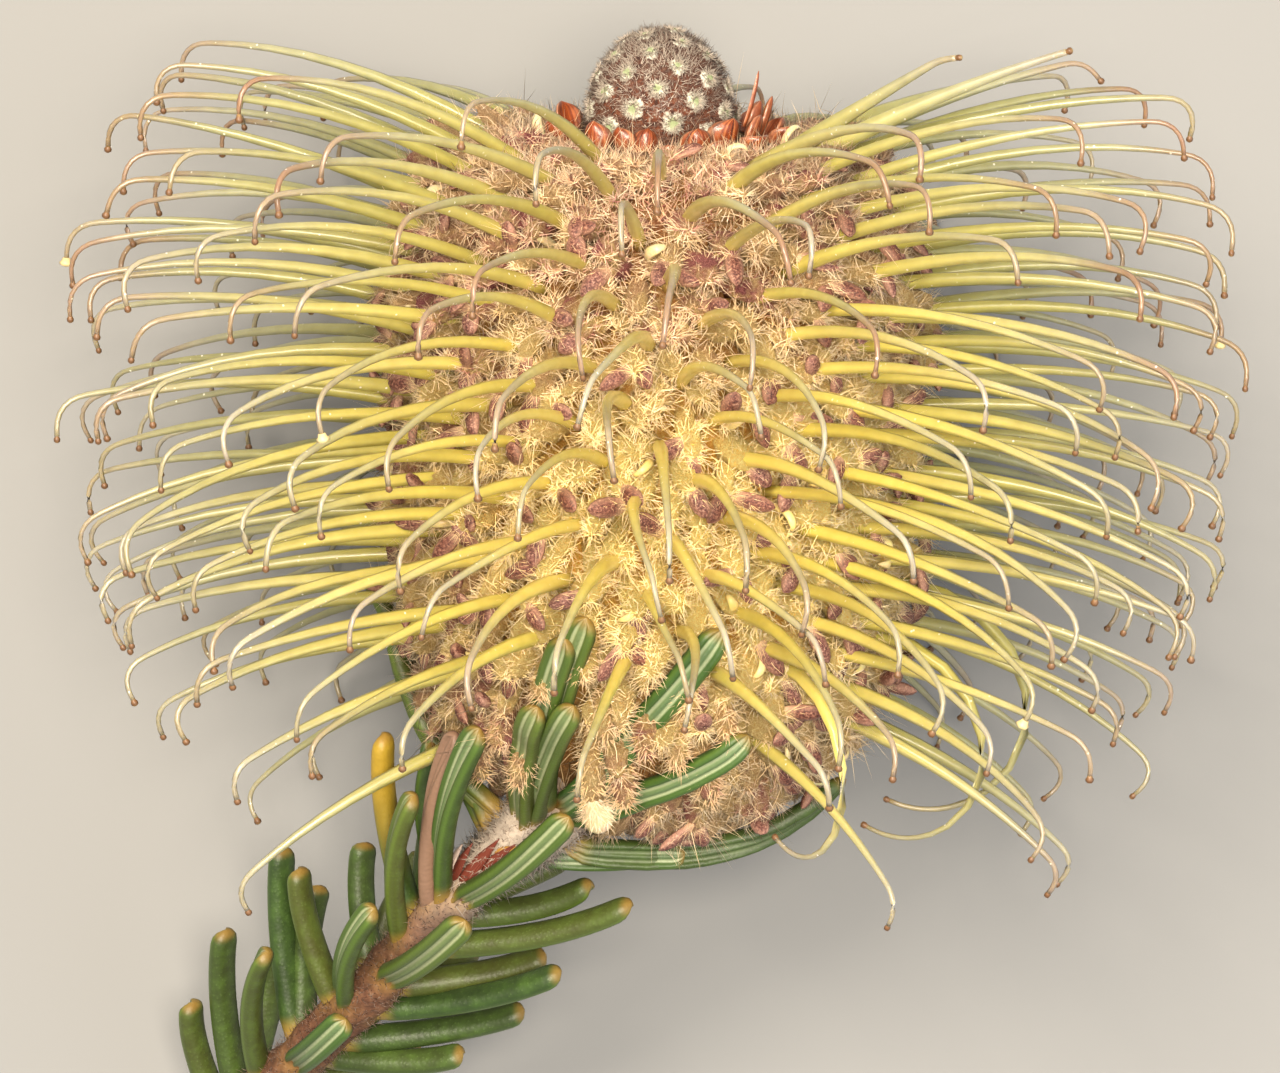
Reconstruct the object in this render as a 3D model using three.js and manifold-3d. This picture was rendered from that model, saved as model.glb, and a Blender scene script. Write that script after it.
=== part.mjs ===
// Banksia flower head on its short leafy stem, cut and laid on a table.
//
// Millimetres, +Z up. The table is the plane z = 0 and the origin lies on it, under the middle of the
// flower's box. The bud end points along +Y and a little up, the cut stem runs down towards -X and -Y.
// The flower is three solids: the head (wool, florets and styles, grown as one), the bud dome on its
// tip, and the stem with its leaves. Florets and styles go round the head by rule. The leaves on the
// upper side are listed one by one and those on the far side follow a rule.

import * as THREE from 'three';
import { mergeVertices } from 'three/addons/utils/BufferGeometryUtils.js';
import Module from 'manifold-3d';

const wasm = await Module();
wasm.setup();

// ---------------------------------------------------------------- driving dimensions

const goldenAngle = THREE.MathUtils.degToRad(137.508);
const goldenSection = 0.618034;
const gap = 0.3; // clear space between neighbouring solids

const head = {
  centre: new THREE.Vector3(0.2, 7.61, 24.5), // middle of the woolly body
  lean: 1, // degrees, bud end swings to +X
  rise: 12, // degrees, bud end above level
  radius: 14.2, // of the woolly body at its widest
  halfLength: 20.2,
  budPower: 4.2, // how square the bud end is
  basePower: 2.6, // how square the stem end is
  roundness: 2.4,
};

const florets = {
  around: 22,
  rows: 12,
  height: 1.9, // floret tip above the valley beside it
  uneven: 0.35, // how much deeper the deepest floret sits
};

const styles = {
  count: 151, // places for them, as many as the solid can carry, even on all sides
  lowest: -14.6, // along the axis, where the styles begin and end
  highest: 17.3,
  bareUnder: 3.5, // the lowest place is this much higher on the underside
  rootDepth: 2.8, // below the tops of the florets, deeper than the valleys
  thinFrom: -7, // from here towards the stem fewer and fewer of them are taken
  thinReach: 3,
  thinShare: 0.65,
  length: 18.7, // from the wool to the tip, along the style
  lowLength: 12.6, // of the styles nearest the stem
  pressed: 0.25, // middle of a style above the table where it is pressed down
  rootRadius: 0.44,
  tipRadius: 0.4,
  knobRadius: 0.52,
  middleLift: 2, // degrees towards the bud end as a style leaves the wool
  budLift: 30,
  stemLift: -58,
  sideLift: 3, // more on the left, less on the right
  frontLift: 12, // more on the side away from the table, less underneath
  bend: 32, // degrees of slow arch
  lowBend: 30,
  archPower: 1.35, // above 1 the arch gets tighter along the style
  hook: 86, // degrees of the hook at the tip
  hookStart: 0.855, // as a share of the length
  uneven: { length: 0.06, lift: 5, bend: 7, hook: 14, sway: 5 }, // share, then degrees
  swings: [0, 6, -6, 12, -12, 18, -18, 26, -26], // degrees sideways, tried in turn to pass a leaf
  steps: 80, // of the middle line
  held: 12, // steps that stay in the wool, where nothing else is in the way
  sides: 3,
  rings: [0, 0.16, 0.4, 0.62, 0.8, 0.88, 0.94, 1], // shares of the length, knob last
};

// Styles that differ from the spiral: broad stiff ones by the bud dome, and loops whose tips are still
// held in the wool. Degrees round the head, millimetres along it, then the same measures as above.
const strays = [
  { turn: 14, along: 17.2, length: 12.6, lift: 29, bend: 10, hook: 0 },
  { turn: 38, along: 17.4, length: 10.5, lift: 33, bend: 4, hook: 20 },
  { turn: -12, along: 16.9, length: 14.5, lift: 24, bend: 14, hook: 60 },
  { turn: 6, along: -5.6, length: 21, lift: 2, bend: 205, hook: 0 },
  { turn: 24, along: -7.6, length: 18.5, lift: 4, bend: 208, hook: 0 },
  { turn: 58, along: -8.2, length: 17, lift: 8, bend: 215, hook: 0 },
  { turn: 80, along: -8.8, length: 15.5, lift: 4, bend: 215, hook: 0 },
];

const dome = {
  foot: 18.5, // along the head's axis
  height: 5.2,
  radius: 4.05,
  underside: 0.35, // depth below the foot, as a share of the height
  squareness: 0.4, // 0.5 would be a plain ellipse
  tuftsAround: 9,
  tuftRows: 4,
  tuftHeight: 0.35,
};

// Papery bracts round the foot of the dome.
const bracts = {
  count: 9,
  ring: 4.4, // their distance from the axis
  above: 0.6, // their middles above the dome's foot
  halfWidth: 0.95,
  halfLength: 1.3,
  halfThickness: 0.65,
  lean: 0.9, // outwards, for each 1 upwards
  uneven: 0.2, // of their spacing round the head, radians
};

const stem = {
  radius: 1.35,
  collarRadius: 1.9, // woolly cushion under the head
  collarStation: 5.5, // along the stem from its buried end
  collarReach: 3.2,
  sides: 8,
  rings: 16,
  // from inside the head to the cut end, measured from the middle of the head
  route: [
    [-2.8, -13.6, -0.6],
    [-4.9, -17.9, 0.2],
    [-8.6, -21.0, -1.0],
    [-12.2, -24.8, -3.6],
    [-15.8, -28.8, -7.2],
    [-19.6, -32.6, -11.4],
    [-22.6, -35.6, -15.4],
    [-25.6, -38.8, -20.0],
  ],
};

const leaves = {
  width: 1.65,
  thickness: 1.2,
  bow: 1, // how far the middle of a leaf stands away from the straight line
  petiole: 0.14, // as a share of the length
  petioleWidth: 0.62, // of the full width
  tipWidth: 0.55,
  tipThickness: 0.8,
  rings: 5,
  sides: 6,
  headClearance: 0.6, // middle of a leaf above the wool
  turning: 0.6, // how far out of the wool a leaf keeps its face turned to it
};

// Leaves on the upper side, each where it grows: its place along the stem from the buried end, and its
// tip, measured from the middle of the head.
const shownLeaves = [
  [5.8, 3.5, -8.4, 13.0],
  [6.0, -3.5, -7.8, 13.5],
  [6.4, 4.8, -13.8, 9.5],
  [6.5, -4.6, -8.9, 12.8],
  [6.8, 10.4, -16.7, -1.5],
  [7.1, -4.2, -12.4, 11.0],
  [7.6, -6.0, -12.4, 10.0],
  [8.2, -15.6, -5.7, -2.5],
  [9.4, -13.6, -9.3, -4.5],
  [13.8, -4.5, -18.4, 6.5],
  [14.1, -12.0, -14.7, -0.5],
  [14.5, -9.2, -13.7, 7.5],
  [14.8, -2.9, -21.5, -0.5],
  [15.5, -10.3, -14.0, 4.5],
  [16.8, -14.5, -14.2, 0.5],
  [17.7, -1.2, -23.4, 0.0],
  [18.3, -12.8, -17.4, 3.5],
  [20.8, -10.1, -24.1, 3.5],
  [21.5, -15.9, -20.5, -6.5],
  [23.9, -5.1, -27.4, -4.0],
  [24.3, -15.1, -23.7, 0.0],
  [24.9, -19.5, -21.9, -6.0],
  [27.5, -7.2, -29.9, -8.5],
  [28.8, -10.6, -32.3, -8.5],
  [29.4, -20.6, -20.9, -9.0],
  [30.0, -16.9, -30.1, -4.5],
  [33.6, -21.3, -26.5, -6.0],
  [36.6, -24.0, -25.7, -11.5],
  [38.6, -26.1, -30.0, -14.0],
];

// Leaves on the far side, shared over it by the golden section.
const hiddenLeaves = {
  count: 12,
  first: 9,
  spacing: 2.5,
  fan: 130, // degrees, across the underside
  spread: 44, // degrees away from the stem
  uneven: 6, // degrees, of that spread
  length: 9.6,
};

// ---------------------------------------------------------------- small helpers

const degrees = THREE.MathUtils.degToRad;
const mix = THREE.MathUtils.lerp;
const smooth = (x) => THREE.MathUtils.smoothstep(x, 0, 1);

// The same fraction between 0 and 1 for the same flower or leaf and the same question.
function draw(index, question) {
  const value = Math.sin(index * 12.9898 + question * 78.233) * 43758.5453;
  return value - Math.floor(value);
}

const spread = (index, question) => 2 * draw(index, question) - 1;

// A closed mesh as a solid that can be joined and cut.
function solid(geometry) {
  const bare = geometry.clone();
  bare.deleteAttribute('normal');
  bare.deleteAttribute('uv');
  const merged = mergeVertices(bare);
  return new wasm.Manifold(new wasm.Mesh({
    numProp: 3,
    vertProperties: new Float32Array(merged.attributes.position.array),
    triVerts: new Uint32Array(merged.index.array),
  }));
}

function geometryOf(manifold) {
  const mesh = manifold.getMesh();
  const geometry = new THREE.BufferGeometry();
  geometry.setAttribute('position', new THREE.BufferAttribute(mesh.vertProperties, 3));
  geometry.setIndex(new THREE.BufferAttribute(mesh.triVerts, 1));
  geometry.computeVertexNormals();
  return geometry;
}

function joined(solids) {
  return solids.reduce((whole, next) => whole.add(next));
}

// The biggest piece of a solid, without the scraps that a cut leaves.
function withoutScraps(manifold) {
  const pieces = manifold.decompose();
  return pieces.reduce((best, piece) => (piece.volume() > best.volume() ? piece : best));
}

// Everything under the table is pressed flat: cut away at z = 0.
function aboveTable(manifold) {
  const block = new THREE.BoxGeometry(300, 300, 40);
  block.translate(0, 0, -20);
  return manifold.subtract(solid(block));
}

// A height that would sink into the table eases into a line just above it.
function eased(height, lowest, softness = 0.3) {
  const over = height - lowest;
  return lowest + 0.5 * (over + Math.sqrt(over * over + 4 * softness * softness));
}

// Column and row of a vertex on a sphere's grid, the seam counted once.
function gridPlace(position, i, columns, rows) {
  const turn = Math.atan2(position.getZ(i), position.getX(i)) / (2 * Math.PI);
  const slope = Math.acos(THREE.MathUtils.clamp(position.getY(i), -1, 1)) / Math.PI;
  return { column: (Math.round(turn * columns) + columns) % columns, row: Math.round(slope * rows) };
}

// A cylinder laid along a path, ring by ring. `shape(t)` gives half width and half thickness at the
// share t of the path; `facing(point)` gives the direction that the thickness is measured in.
function alongPath(points, sides, shape, facing) {
  const rings = points.length - 1;
  const geometry = new THREE.CylinderGeometry(1, 1, 1, sides, rings, false, Math.PI / sides);
  const position = geometry.attributes.position;
  const frames = points.map((point, i) => {
    const tangent = points[Math.min(i + 1, rings)].clone().sub(points[Math.max(i - 1, 0)]).normalize();
    const side = tangent.clone().cross(facing(point)).normalize();
    const up = side.clone().cross(tangent).normalize();
    return { side, up, size: shape(i / rings, i) };
  });
  for (let i = 0; i < position.count; i += 1) {
    const ring = Math.round((position.getY(i) + 0.5) * rings);
    const { side, up, size } = frames[ring];
    const place = points[ring].clone()
      .addScaledVector(side, position.getX(i) * size[0])
      .addScaledVector(up, position.getZ(i) * size[1]);
    position.setXYZ(i, place.x, place.y, place.z);
  }
  return geometry;
}

// ---------------------------------------------------------------- the head's own axes

const lean = degrees(head.lean);
const rise = degrees(head.rise);
const axis = new THREE.Vector3(
  Math.sin(lean) * Math.cos(rise),
  Math.cos(lean) * Math.cos(rise),
  Math.sin(rise),
);
const right = new THREE.Vector3(Math.cos(lean), -Math.sin(lean), 0);
const front = right.clone().cross(axis);

const outward = (turn) => right.clone().multiplyScalar(Math.cos(turn)).addScaledVector(front, Math.sin(turn));

// Point at a distance from the axis, a turn round it and a place along it.
function onHead(distance, turn, along) {
  return head.centre.clone().addScaledVector(axis, along).addScaledVector(outward(turn), distance);
}

function headPlace(point) {
  const offset = point.clone().sub(head.centre);
  const along = offset.dot(axis);
  const x = offset.dot(right);
  const y = offset.dot(front);
  return { along, distance: Math.hypot(x, y), turn: Math.atan2(y, x) };
}

// Below 0 inside the woolly body, above 0 outside it: (distance / R)^q + |along / H|^p - 1.
function bodyLevel(distance, along, extra = 0) {
  const power = along > 0 ? head.budPower : head.basePower;
  const across = (distance / (head.radius + extra)) ** head.roundness;
  return across + Math.abs(along / (head.halfLength + extra)) ** power - 1;
}

function bodyRadius(along) {
  const power = along > 0 ? head.budPower : head.basePower;
  const rest = Math.max(0, 1 - Math.abs(along / head.halfLength) ** power);
  return head.radius * rest ** (1 / head.roundness);
}

// ---------------------------------------------------------------- stem and leaves

const stemCurve = new THREE.CatmullRomCurve3(
  stem.route.map(([x, y, z]) => new THREE.Vector3(x, y, z).add(head.centre)),
);
const stemLength = stemCurve.getLength();

// Along the stem: place, direction towards the head, and two directions across it.
function stemFrame(station) {
  const share = THREE.MathUtils.clamp(station / stemLength, 0, 1);
  const place = stemCurve.getPointAt(share);
  const forward = stemCurve.getTangentAt(share).negate();
  const left = new THREE.Vector3(0, 0, 1).cross(forward).normalize();
  const up = forward.clone().cross(left).normalize();
  return { place, forward, left, up };
}

function stemWidth(station) {
  const cushion = Math.exp(-(((station - stem.collarStation) / stem.collarReach) ** 2));
  return mix(stem.radius, stem.collarRadius, cushion);
}

function twig(grow) {
  const points = stemCurve.getSpacedPoints(stem.rings).reverse();
  const shape = (t) => {
    const radius = stemWidth((1 - t) * stemLength) + grow;
    return [radius, radius];
  };
  return solid(alongPath(points, stem.sides, shape, () => new THREE.Vector3(0, 0, 1)));
}

// Moves a leaf's point out of the wool, along the slope of the body's surface.
function clearOfHead(point, clearance) {
  const place = point.clone();
  const step = 0.1;
  const farthest = 12;
  for (let moved = 0; moved < farthest; moved += step) {
    const { along, distance, turn } = headPlace(place);
    const level = bodyLevel(distance, along, clearance);
    if (level >= 0) break;
    const outwards = bodyLevel(distance + step, along, clearance) - level;
    const endwards = bodyLevel(distance, along + step, clearance) - level;
    const slope = outward(turn).multiplyScalar(outwards).addScaledVector(axis, endwards).normalize();
    place.addScaledVector(slope, step);
  }
  return place;
}

// Leaf middle line from the stem's middle to its tip: an arch whose back is turned away from the stem,
// clear of wool and table.
function leafPath(station, tip) {
  const { place, forward } = stemFrame(station);
  const span = tip.clone().sub(place);
  const across = span.clone().addScaledVector(forward, -span.dot(forward)).normalize();
  const middle = place.clone().lerp(tip, 0.5).addScaledVector(across, 2 * leaves.bow);
  const arch = new THREE.QuadraticBezierCurve3(place, middle, tip);
  const rooted = 3; // points that stay at the stem
  const bent = arch.getSpacedPoints(24).map((point, i) => {
    const free = i < rooted ? point : clearOfHead(point, leaves.headClearance);
    free.z = eased(free.z, leaves.thickness / 2 - 0.1);
    return free;
  });
  return { points: new THREE.CatmullRomCurve3(bent).getSpacedPoints(leaves.rings), across };
}

function hiddenTip(index) {
  const { place, forward, left, up } = stemFrame(hiddenLeaves.first + index * hiddenLeaves.spacing);
  const share = (index * goldenSection) % 1;
  const turn = degrees(hiddenLeaves.fan * (share - 0.5) - 90);
  const angle = degrees(hiddenLeaves.spread + hiddenLeaves.uneven * spread(index, 3));
  const across = left.multiplyScalar(Math.cos(turn)).addScaledVector(up, Math.sin(turn));
  return place.addScaledVector(forward, Math.cos(angle) * hiddenLeaves.length)
    .addScaledVector(across, Math.sin(angle) * hiddenLeaves.length);
}

const leafPaths = [
  ...shownLeaves.map(([station, x, y, z]) => leafPath(station, new THREE.Vector3(x, y, z).add(head.centre))),
  ...Array.from({ length: hiddenLeaves.count }, (_, index) => leafPath(
    hiddenLeaves.first + index * hiddenLeaves.spacing,
    hiddenTip(index),
  )),
];

function leaf({ points, across }, grow) {
  const shape = (t) => {
    const petiole = mix(leaves.petioleWidth, 1, smooth(t / leaves.petiole));
    const tip = t === 1 ? leaves.tipWidth : 1;
    const thinned = mix(1, leaves.tipThickness, t);
    return [leaves.width / 2 * petiole * tip + grow, leaves.thickness / 2 * thinned + grow];
  };
  // where a leaf lies along the wool it turns its face to it
  const facing = (point) => {
    const { along, distance, turn } = headPlace(point);
    const away = smooth(bodyLevel(distance, along) / leaves.turning);
    return outward(turn).multiplyScalar(1 - away).addScaledVector(across, away);
  };
  return solid(alongPath(points, leaves.sides, shape, facing));
}

function leafyStem(grow) {
  return joined([twig(grow), ...leafPaths.map((path) => leaf(path, grow))]);
}

// ---------------------------------------------------------------- bud dome

function budDome(grow) {
  const columns = dome.tuftsAround * 2;
  const rows = dome.tuftRows * 2 + 2;
  const geometry = new THREE.SphereGeometry(1, columns, rows);
  const position = geometry.attributes.position;
  for (let i = 0; i < position.count; i += 1) {
    const turn = Math.atan2(position.getZ(i), position.getX(i));
    const height = position.getY(i);
    const { column, row } = gridPlace(position, i, columns, rows);
    const tuft = row < rows / 2 && row % 2 === 1 && (column + (row - 1) / 2) % 2 === 0;
    const lift = (tuft ? dome.tuftHeight : 0) + grow;
    const level = height > 0 ? height : height * dome.underside;
    const across = Math.max(0, 1 - height * height) ** dome.squareness * (dome.radius + lift);
    const place = onHead(across, turn, dome.foot + level * (dome.height + lift));
    position.setXYZ(i, place.x, place.y, place.z);
  }
  return solid(geometry);
}

function bract(index, grow) {
  const geometry = new THREE.SphereGeometry(1, 6, 4);
  geometry.scale(bracts.halfWidth + grow, bracts.halfLength + grow, bracts.halfThickness + grow);
  const turn = index * (2 * Math.PI / bracts.count) + bracts.uneven * spread(index, 11);
  const out = outward(turn);
  const up = axis.clone().addScaledVector(out, bracts.lean).normalize();
  const side = up.clone().cross(out).normalize();
  const basis = new THREE.Matrix4().makeBasis(side, up, side.clone().cross(up));
  basis.setPosition(onHead(bracts.ring, turn, dome.foot + bracts.above));
  geometry.applyMatrix4(basis);
  return solid(geometry);
}

function budCluster(grow) {
  const ring = Array.from({ length: bracts.count }, (_, index) => bract(index, grow));
  return joined([budDome(grow), ...ring]);
}

// ---------------------------------------------------------------- woolly body with its florets

function woollyBody() {
  const columns = florets.around * 2;
  const rows = florets.rows * 2;
  const geometry = new THREE.SphereGeometry(1, columns, rows);
  const position = geometry.attributes.position;
  for (let i = 0; i < position.count; i += 1) {
    const turn = Math.atan2(position.getZ(i), position.getX(i));
    const { column, row } = gridPlace(position, i, columns, rows);
    const floret = row % 2 === 1 && (column + (row - 1) / 2) % 2 === 0;
    const sunk = floret ? florets.uneven * draw(column * 31 + row, 31) : florets.height;
    const along = bodyStations[row];
    const pole = row === 0 || row === rows;
    const level = 1 - Math.abs(along / head.halfLength) ** 8; // the relief fades towards the poles
    const across = pole ? 0 : Math.max(0, bodyRadius(along) - sunk * level);
    const place = onHead(across, turn, pole ? along - Math.sign(along) * sunk : along);
    position.setXYZ(i, place.x, place.y, place.z);
  }
  return solid(geometry);
}

// Places along the axis that are evenly spaced over the body's outline, bud end first.
const bodyStations = evenStations(florets.rows * 2);

function evenStations(rows) {
  const fine = 400;
  const lengths = [0];
  const along = (i) => head.halfLength * Math.cos((Math.PI * i) / fine);
  for (let i = 1; i <= fine; i += 1) {
    const run = along(i) - along(i - 1);
    const across = bodyRadius(along(i)) - bodyRadius(along(i - 1));
    lengths.push(lengths[i - 1] + Math.hypot(run, across));
  }
  return Array.from({ length: rows + 1 }, (_, row) => {
    const wanted = (lengths[fine] * row) / rows;
    const after = Math.max(1, lengths.findIndex((length) => length >= wanted - 1e-9));
    const share = (wanted - lengths[after - 1]) / (lengths[after] - lengths[after - 1]);
    return mix(along(after - 1), along(after), share);
  });
}

// ---------------------------------------------------------------- styles

// Places along the axis that give each flower the same area of the body.
function flowerStations() {
  const fine = 800;
  const areas = [0];
  const along = (i) => mix(styles.lowest, styles.highest, i / fine);
  for (let i = 1; i <= fine; i += 1) {
    const run = along(i) - along(i - 1);
    const across = bodyRadius(along(i)) - bodyRadius(along(i - 1));
    areas.push(areas[i - 1] + bodyRadius(along(i)) * Math.hypot(run, across));
  }
  return Array.from({ length: styles.count }, (_, flower) => {
    const wanted = areas[fine] * ((flower + 0.5) / styles.count);
    const after = areas.findIndex((area) => area >= wanted);
    const share = (wanted - areas[after - 1]) / (areas[after] - areas[after - 1]);
    return mix(along(after - 1), along(after), share);
  });
}

// The head's axis rises towards the bud end, and its styles don't: the front ones stand up for it, but
// less so beside the bud dome, and the ones underneath hang for it.
function frontLift(turn, high) {
  const facing = Math.sin(turn);
  return styles.frontLift * facing * Math.abs(facing) * (facing > 0 ? 1 - high : 1);
}

// How a flower's style grows: the nearer the bud end, the higher it points, the nearer the stem, the
// lower, and shorter.
function styleHabit(flower, along) {
  const turn = flower * goldenAngle;
  const low = Math.max(0, -along / head.halfLength);
  const high = Math.max(0, along / head.halfLength);
  const lift = styles.middleLift + (styles.budLift - styles.middleLift) * high ** 1.2
    + (styles.stemLift - styles.middleLift) * low ** 2.5 - styles.sideLift * Math.cos(turn)
    + frontLift(turn, high);
  return {
    turn,
    along,
    length: mix(styles.length, styles.lowLength, low) * (1 + styles.uneven.length * spread(flower, 21)),
    lift: lift + styles.uneven.lift * spread(flower, 22),
    bend: mix(styles.bend, styles.lowBend, low) + styles.uneven.bend * spread(flower, 23),
    hook: styles.hook + styles.uneven.hook * spread(flower, 24),
    sway: styles.uneven.sway * spread(flower, 25),
  };
}

// Middle line of a style. In the plane of the head's axis its angle to the outward direction falls
// slowly, then turns through the hook; `swing` turns the style sideways, more towards its tip.
function stylePath(habit, swing) {
  const { turn, along, lift, bend, hook, sway } = habit;
  const step = (habit.length + styles.rootDepth) / styles.steps;
  let distance = bodyRadius(along) - styles.rootDepth;
  let place = along;
  const points = [onHead(distance, turn, along)];
  for (let i = 0; i < styles.steps; i += 1) {
    const t = (i + 0.5) / styles.steps;
    const hooked = smooth((t - styles.hookStart) / (1 - styles.hookStart));
    const angle = degrees(lift - bend * t ** styles.archPower - hook * hooked);
    distance += Math.cos(angle) * step;
    place += Math.sin(angle) * step;
    points.push(onHead(distance, turn + degrees(swing + sway) * t * t, place));
  }
  return points.map((point) => {
    point.z = eased(point.z, styles.pressed);
    return point;
  });
}

// Round balls along a curve, without the first tenth of it, which is buried in wool or stem.
function balls(curve, count, radius) {
  return curve.getSpacedPoints(count).slice(count / 10).map((place) => ({ place, radius }));
}

// What a style has to keep clear of.
const obstacles = [
  ...balls(stemCurve, 60, stem.radius),
  ...leafPaths.flatMap(({ points }) => balls(new THREE.CatmullRomCurve3(points), 20, leaves.width / 2)),
];

function isClear(points) {
  return points.every((point, i) => i < styles.held || obstacles.every(
    ({ place, radius }) => point.distanceTo(place) > radius + styles.rootRadius + gap,
  ));
}

// A style bends sideways round a leaf that is in its way, and is missing where no bend is enough.
function clearStyle(habit) {
  return styles.swings.map((swing) => stylePath(habit, swing)).find(isClear);
}

function style(points) {
  const picked = styles.rings.map((t) => points[Math.round(t * styles.steps)]);
  const shape = (t, ring) => {
    const shaft = mix(styles.rootRadius, styles.tipRadius, styles.rings[ring]);
    const radius = t === 1 ? styles.knobRadius : shaft;
    return [radius, radius];
  };
  return solid(alongPath(picked, styles.sides, shape, () => axis));
}

// ---------------------------------------------------------------- the three solids

const under = (turn) => Math.max(0, -Math.sin(turn));
const thinned = (along) => styles.thinShare * smooth((styles.thinFrom - along) / styles.thinReach);
const habits = [
  ...flowerStations().map((along, flower) => styleHabit(flower, along))
    .filter(({ along, turn }) => along > styles.lowest + styles.bareUnder * under(turn))
    .filter(({ along }, index) => draw(index, 26) >= thinned(along)),
  ...strays.map((stray) => ({ ...stray, turn: degrees(stray.turn), sway: 0 })),
];
const builtStyles = habits.map(clearStyle).filter((points) => points !== undefined);

const body = withoutScraps(woollyBody().subtract(leafyStem(gap)).subtract(budCluster(gap)));
const headSolid = aboveTable(joined([body, ...builtStyles.map(style)]));
const stemSolid = aboveTable(leafyStem(0));
const domeSolid = budCluster(0);

function named(name, manifold, color, roughness) {
  const material = new THREE.MeshStandardMaterial({ color, roughness, metalness: 0 });
  const mesh = new THREE.Mesh(geometryOf(manifold), material);
  mesh.name = name;
  return mesh;
}

const flower = new THREE.Group();
flower.add(
  named('flower_head', headSolid, 0xe0c878, 0.7),
  named('bud_dome', domeSolid, 0x8e4a32, 0.85),
  named('leafy_stem', stemSolid, 0x4d7a38, 0.5),
);

export default flower;
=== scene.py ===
# Banksia flower head on its short leafy stem, cut and laid on a pale table.
# Lengths are in millimetres and are turned to metres where a mesh is made.
import bpy
import numpy as np
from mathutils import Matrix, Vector


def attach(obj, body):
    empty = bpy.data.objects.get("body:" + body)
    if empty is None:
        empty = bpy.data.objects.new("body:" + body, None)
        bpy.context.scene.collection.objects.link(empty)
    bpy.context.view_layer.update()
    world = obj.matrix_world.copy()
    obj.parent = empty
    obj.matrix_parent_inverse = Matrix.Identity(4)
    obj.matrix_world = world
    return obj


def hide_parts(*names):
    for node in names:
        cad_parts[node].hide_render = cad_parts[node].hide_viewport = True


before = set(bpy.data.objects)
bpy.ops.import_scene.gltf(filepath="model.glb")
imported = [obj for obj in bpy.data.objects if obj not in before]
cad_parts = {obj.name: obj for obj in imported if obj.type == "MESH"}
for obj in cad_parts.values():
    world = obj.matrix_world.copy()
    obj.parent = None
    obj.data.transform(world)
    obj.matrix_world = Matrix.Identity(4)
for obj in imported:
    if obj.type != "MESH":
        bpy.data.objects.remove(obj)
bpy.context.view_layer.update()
mm = 0.001
goldenAngle = np.radians(137.508)
goldenSection = 0.618034
chance = np.random.default_rng(11)

# the head's own axes: along it towards the bud dome, to its right, and out of its front
head = {
    "centre": np.array([0.2, 7.61, 24.5]),
    "lean": 1,
    "rise": 12,
    "radius": 14.2,
    "halfLength": 20.2,
    "budPower": 4.2,
    "basePower": 2.6,
    "roundness": 2.4,
}
lean, rise = np.radians([head["lean"], head["rise"]])
axis = np.array([np.sin(lean) * np.cos(rise), np.cos(lean) * np.cos(rise), np.sin(rise)])
right = np.array([np.cos(lean), -np.sin(lean), 0])
front = np.cross(right, axis)


def linear(code):
    # sRGB hex to linear red, green, blue
    parts = np.array([int(code[i:i + 2], 16) / 255 for i in (1, 3, 5)])
    return np.where(parts <= 0.04045, parts / 12.92, ((parts + 0.055) / 1.055) ** 2.4)


def draw(index, question):
    # the same fraction between 0 and 1 for the same flower or leaf and the same question
    value = np.sin(index * 12.9898 + question * 78.233) * 43758.5453
    return value - np.floor(value)


def spread(index, question):
    # the same, between -1 and 1
    return 2 * draw(index, question) - 1


def smooth(x):
    # 0 below 0, 1 above 1, and 3 x^2 - 2 x^3 between
    x = np.clip(x, 0, 1)
    return x * x * (3 - 2 * x)


def mix(a, b, share):
    # a at share 0, b at share 1
    return a + (b - a) * share


def unit(vectors):
    # the same ways, 1 long
    return vectors / np.maximum(np.linalg.norm(vectors, axis=-1, keepdims=True), 1e-9)


def eased(height, lowest, softness=0.3):
    # a height that would sink into the table eases into a line just above it
    over = height - lowest
    return lowest + 0.5 * (over + np.sqrt(over * over + 4 * softness * softness))


def wayRound(angle, first, second):
    # first cos a + second sin a
    return np.cos(angle)[..., None] * first + np.sin(angle)[..., None] * second


def outward(turn):
    # the way out of the head at a turn round it, 0 at its right and 90 degrees at its front
    return wayRound(turn, right, front)


def onHead(distance, turn, along):
    # point at a distance from the axis, a turn round it and a place along it
    return head["centre"] + along[..., None] * axis + distance[..., None] * outward(turn)


def headPlace(points):
    # distance from the head's axis, turn round it and place along it
    offset = points - head["centre"]
    x, y = offset @ right, offset @ front
    return np.hypot(x, y), np.arctan2(y, x), offset @ axis


def bodyRadius(along):
    # distance = R (1 - |along / H| ^ p) ^ (1 / q)
    power = np.where(along > 0, head["budPower"], head["basePower"])
    rest = np.maximum(0, 1 - np.abs(along / head["halfLength"]) ** power)
    return head["radius"] * rest ** (1 / head["roundness"])


def bodyLevel(distance, along, extra=0):
    # below 0 inside the woolly body: (distance / R) ^ q + |along / H| ^ p - 1
    power = np.where(along > 0, head["budPower"], head["basePower"])
    across = (distance / (head["radius"] + extra)) ** head["roundness"]
    return across + np.abs(along / (head["halfLength"] + extra)) ** power - 1


def bodyNormal(distance, turn, along):
    # slope of the level, outwards and endwards
    step = 0.01
    out = bodyLevel(distance + step, along) - bodyLevel(distance, along)
    end = bodyLevel(distance, along + step) - bodyLevel(distance, along - step)
    return unit(out[..., None] * outward(turn) + end[..., None] / 2 * axis)


# ring round the bud dome where the wool lies lower: its height in the middle and its rise towards the edge
domeSeat = {"height": 17.4, "rise": 1.6, "inner": 5, "slope": 4, "outer": 9}


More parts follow.
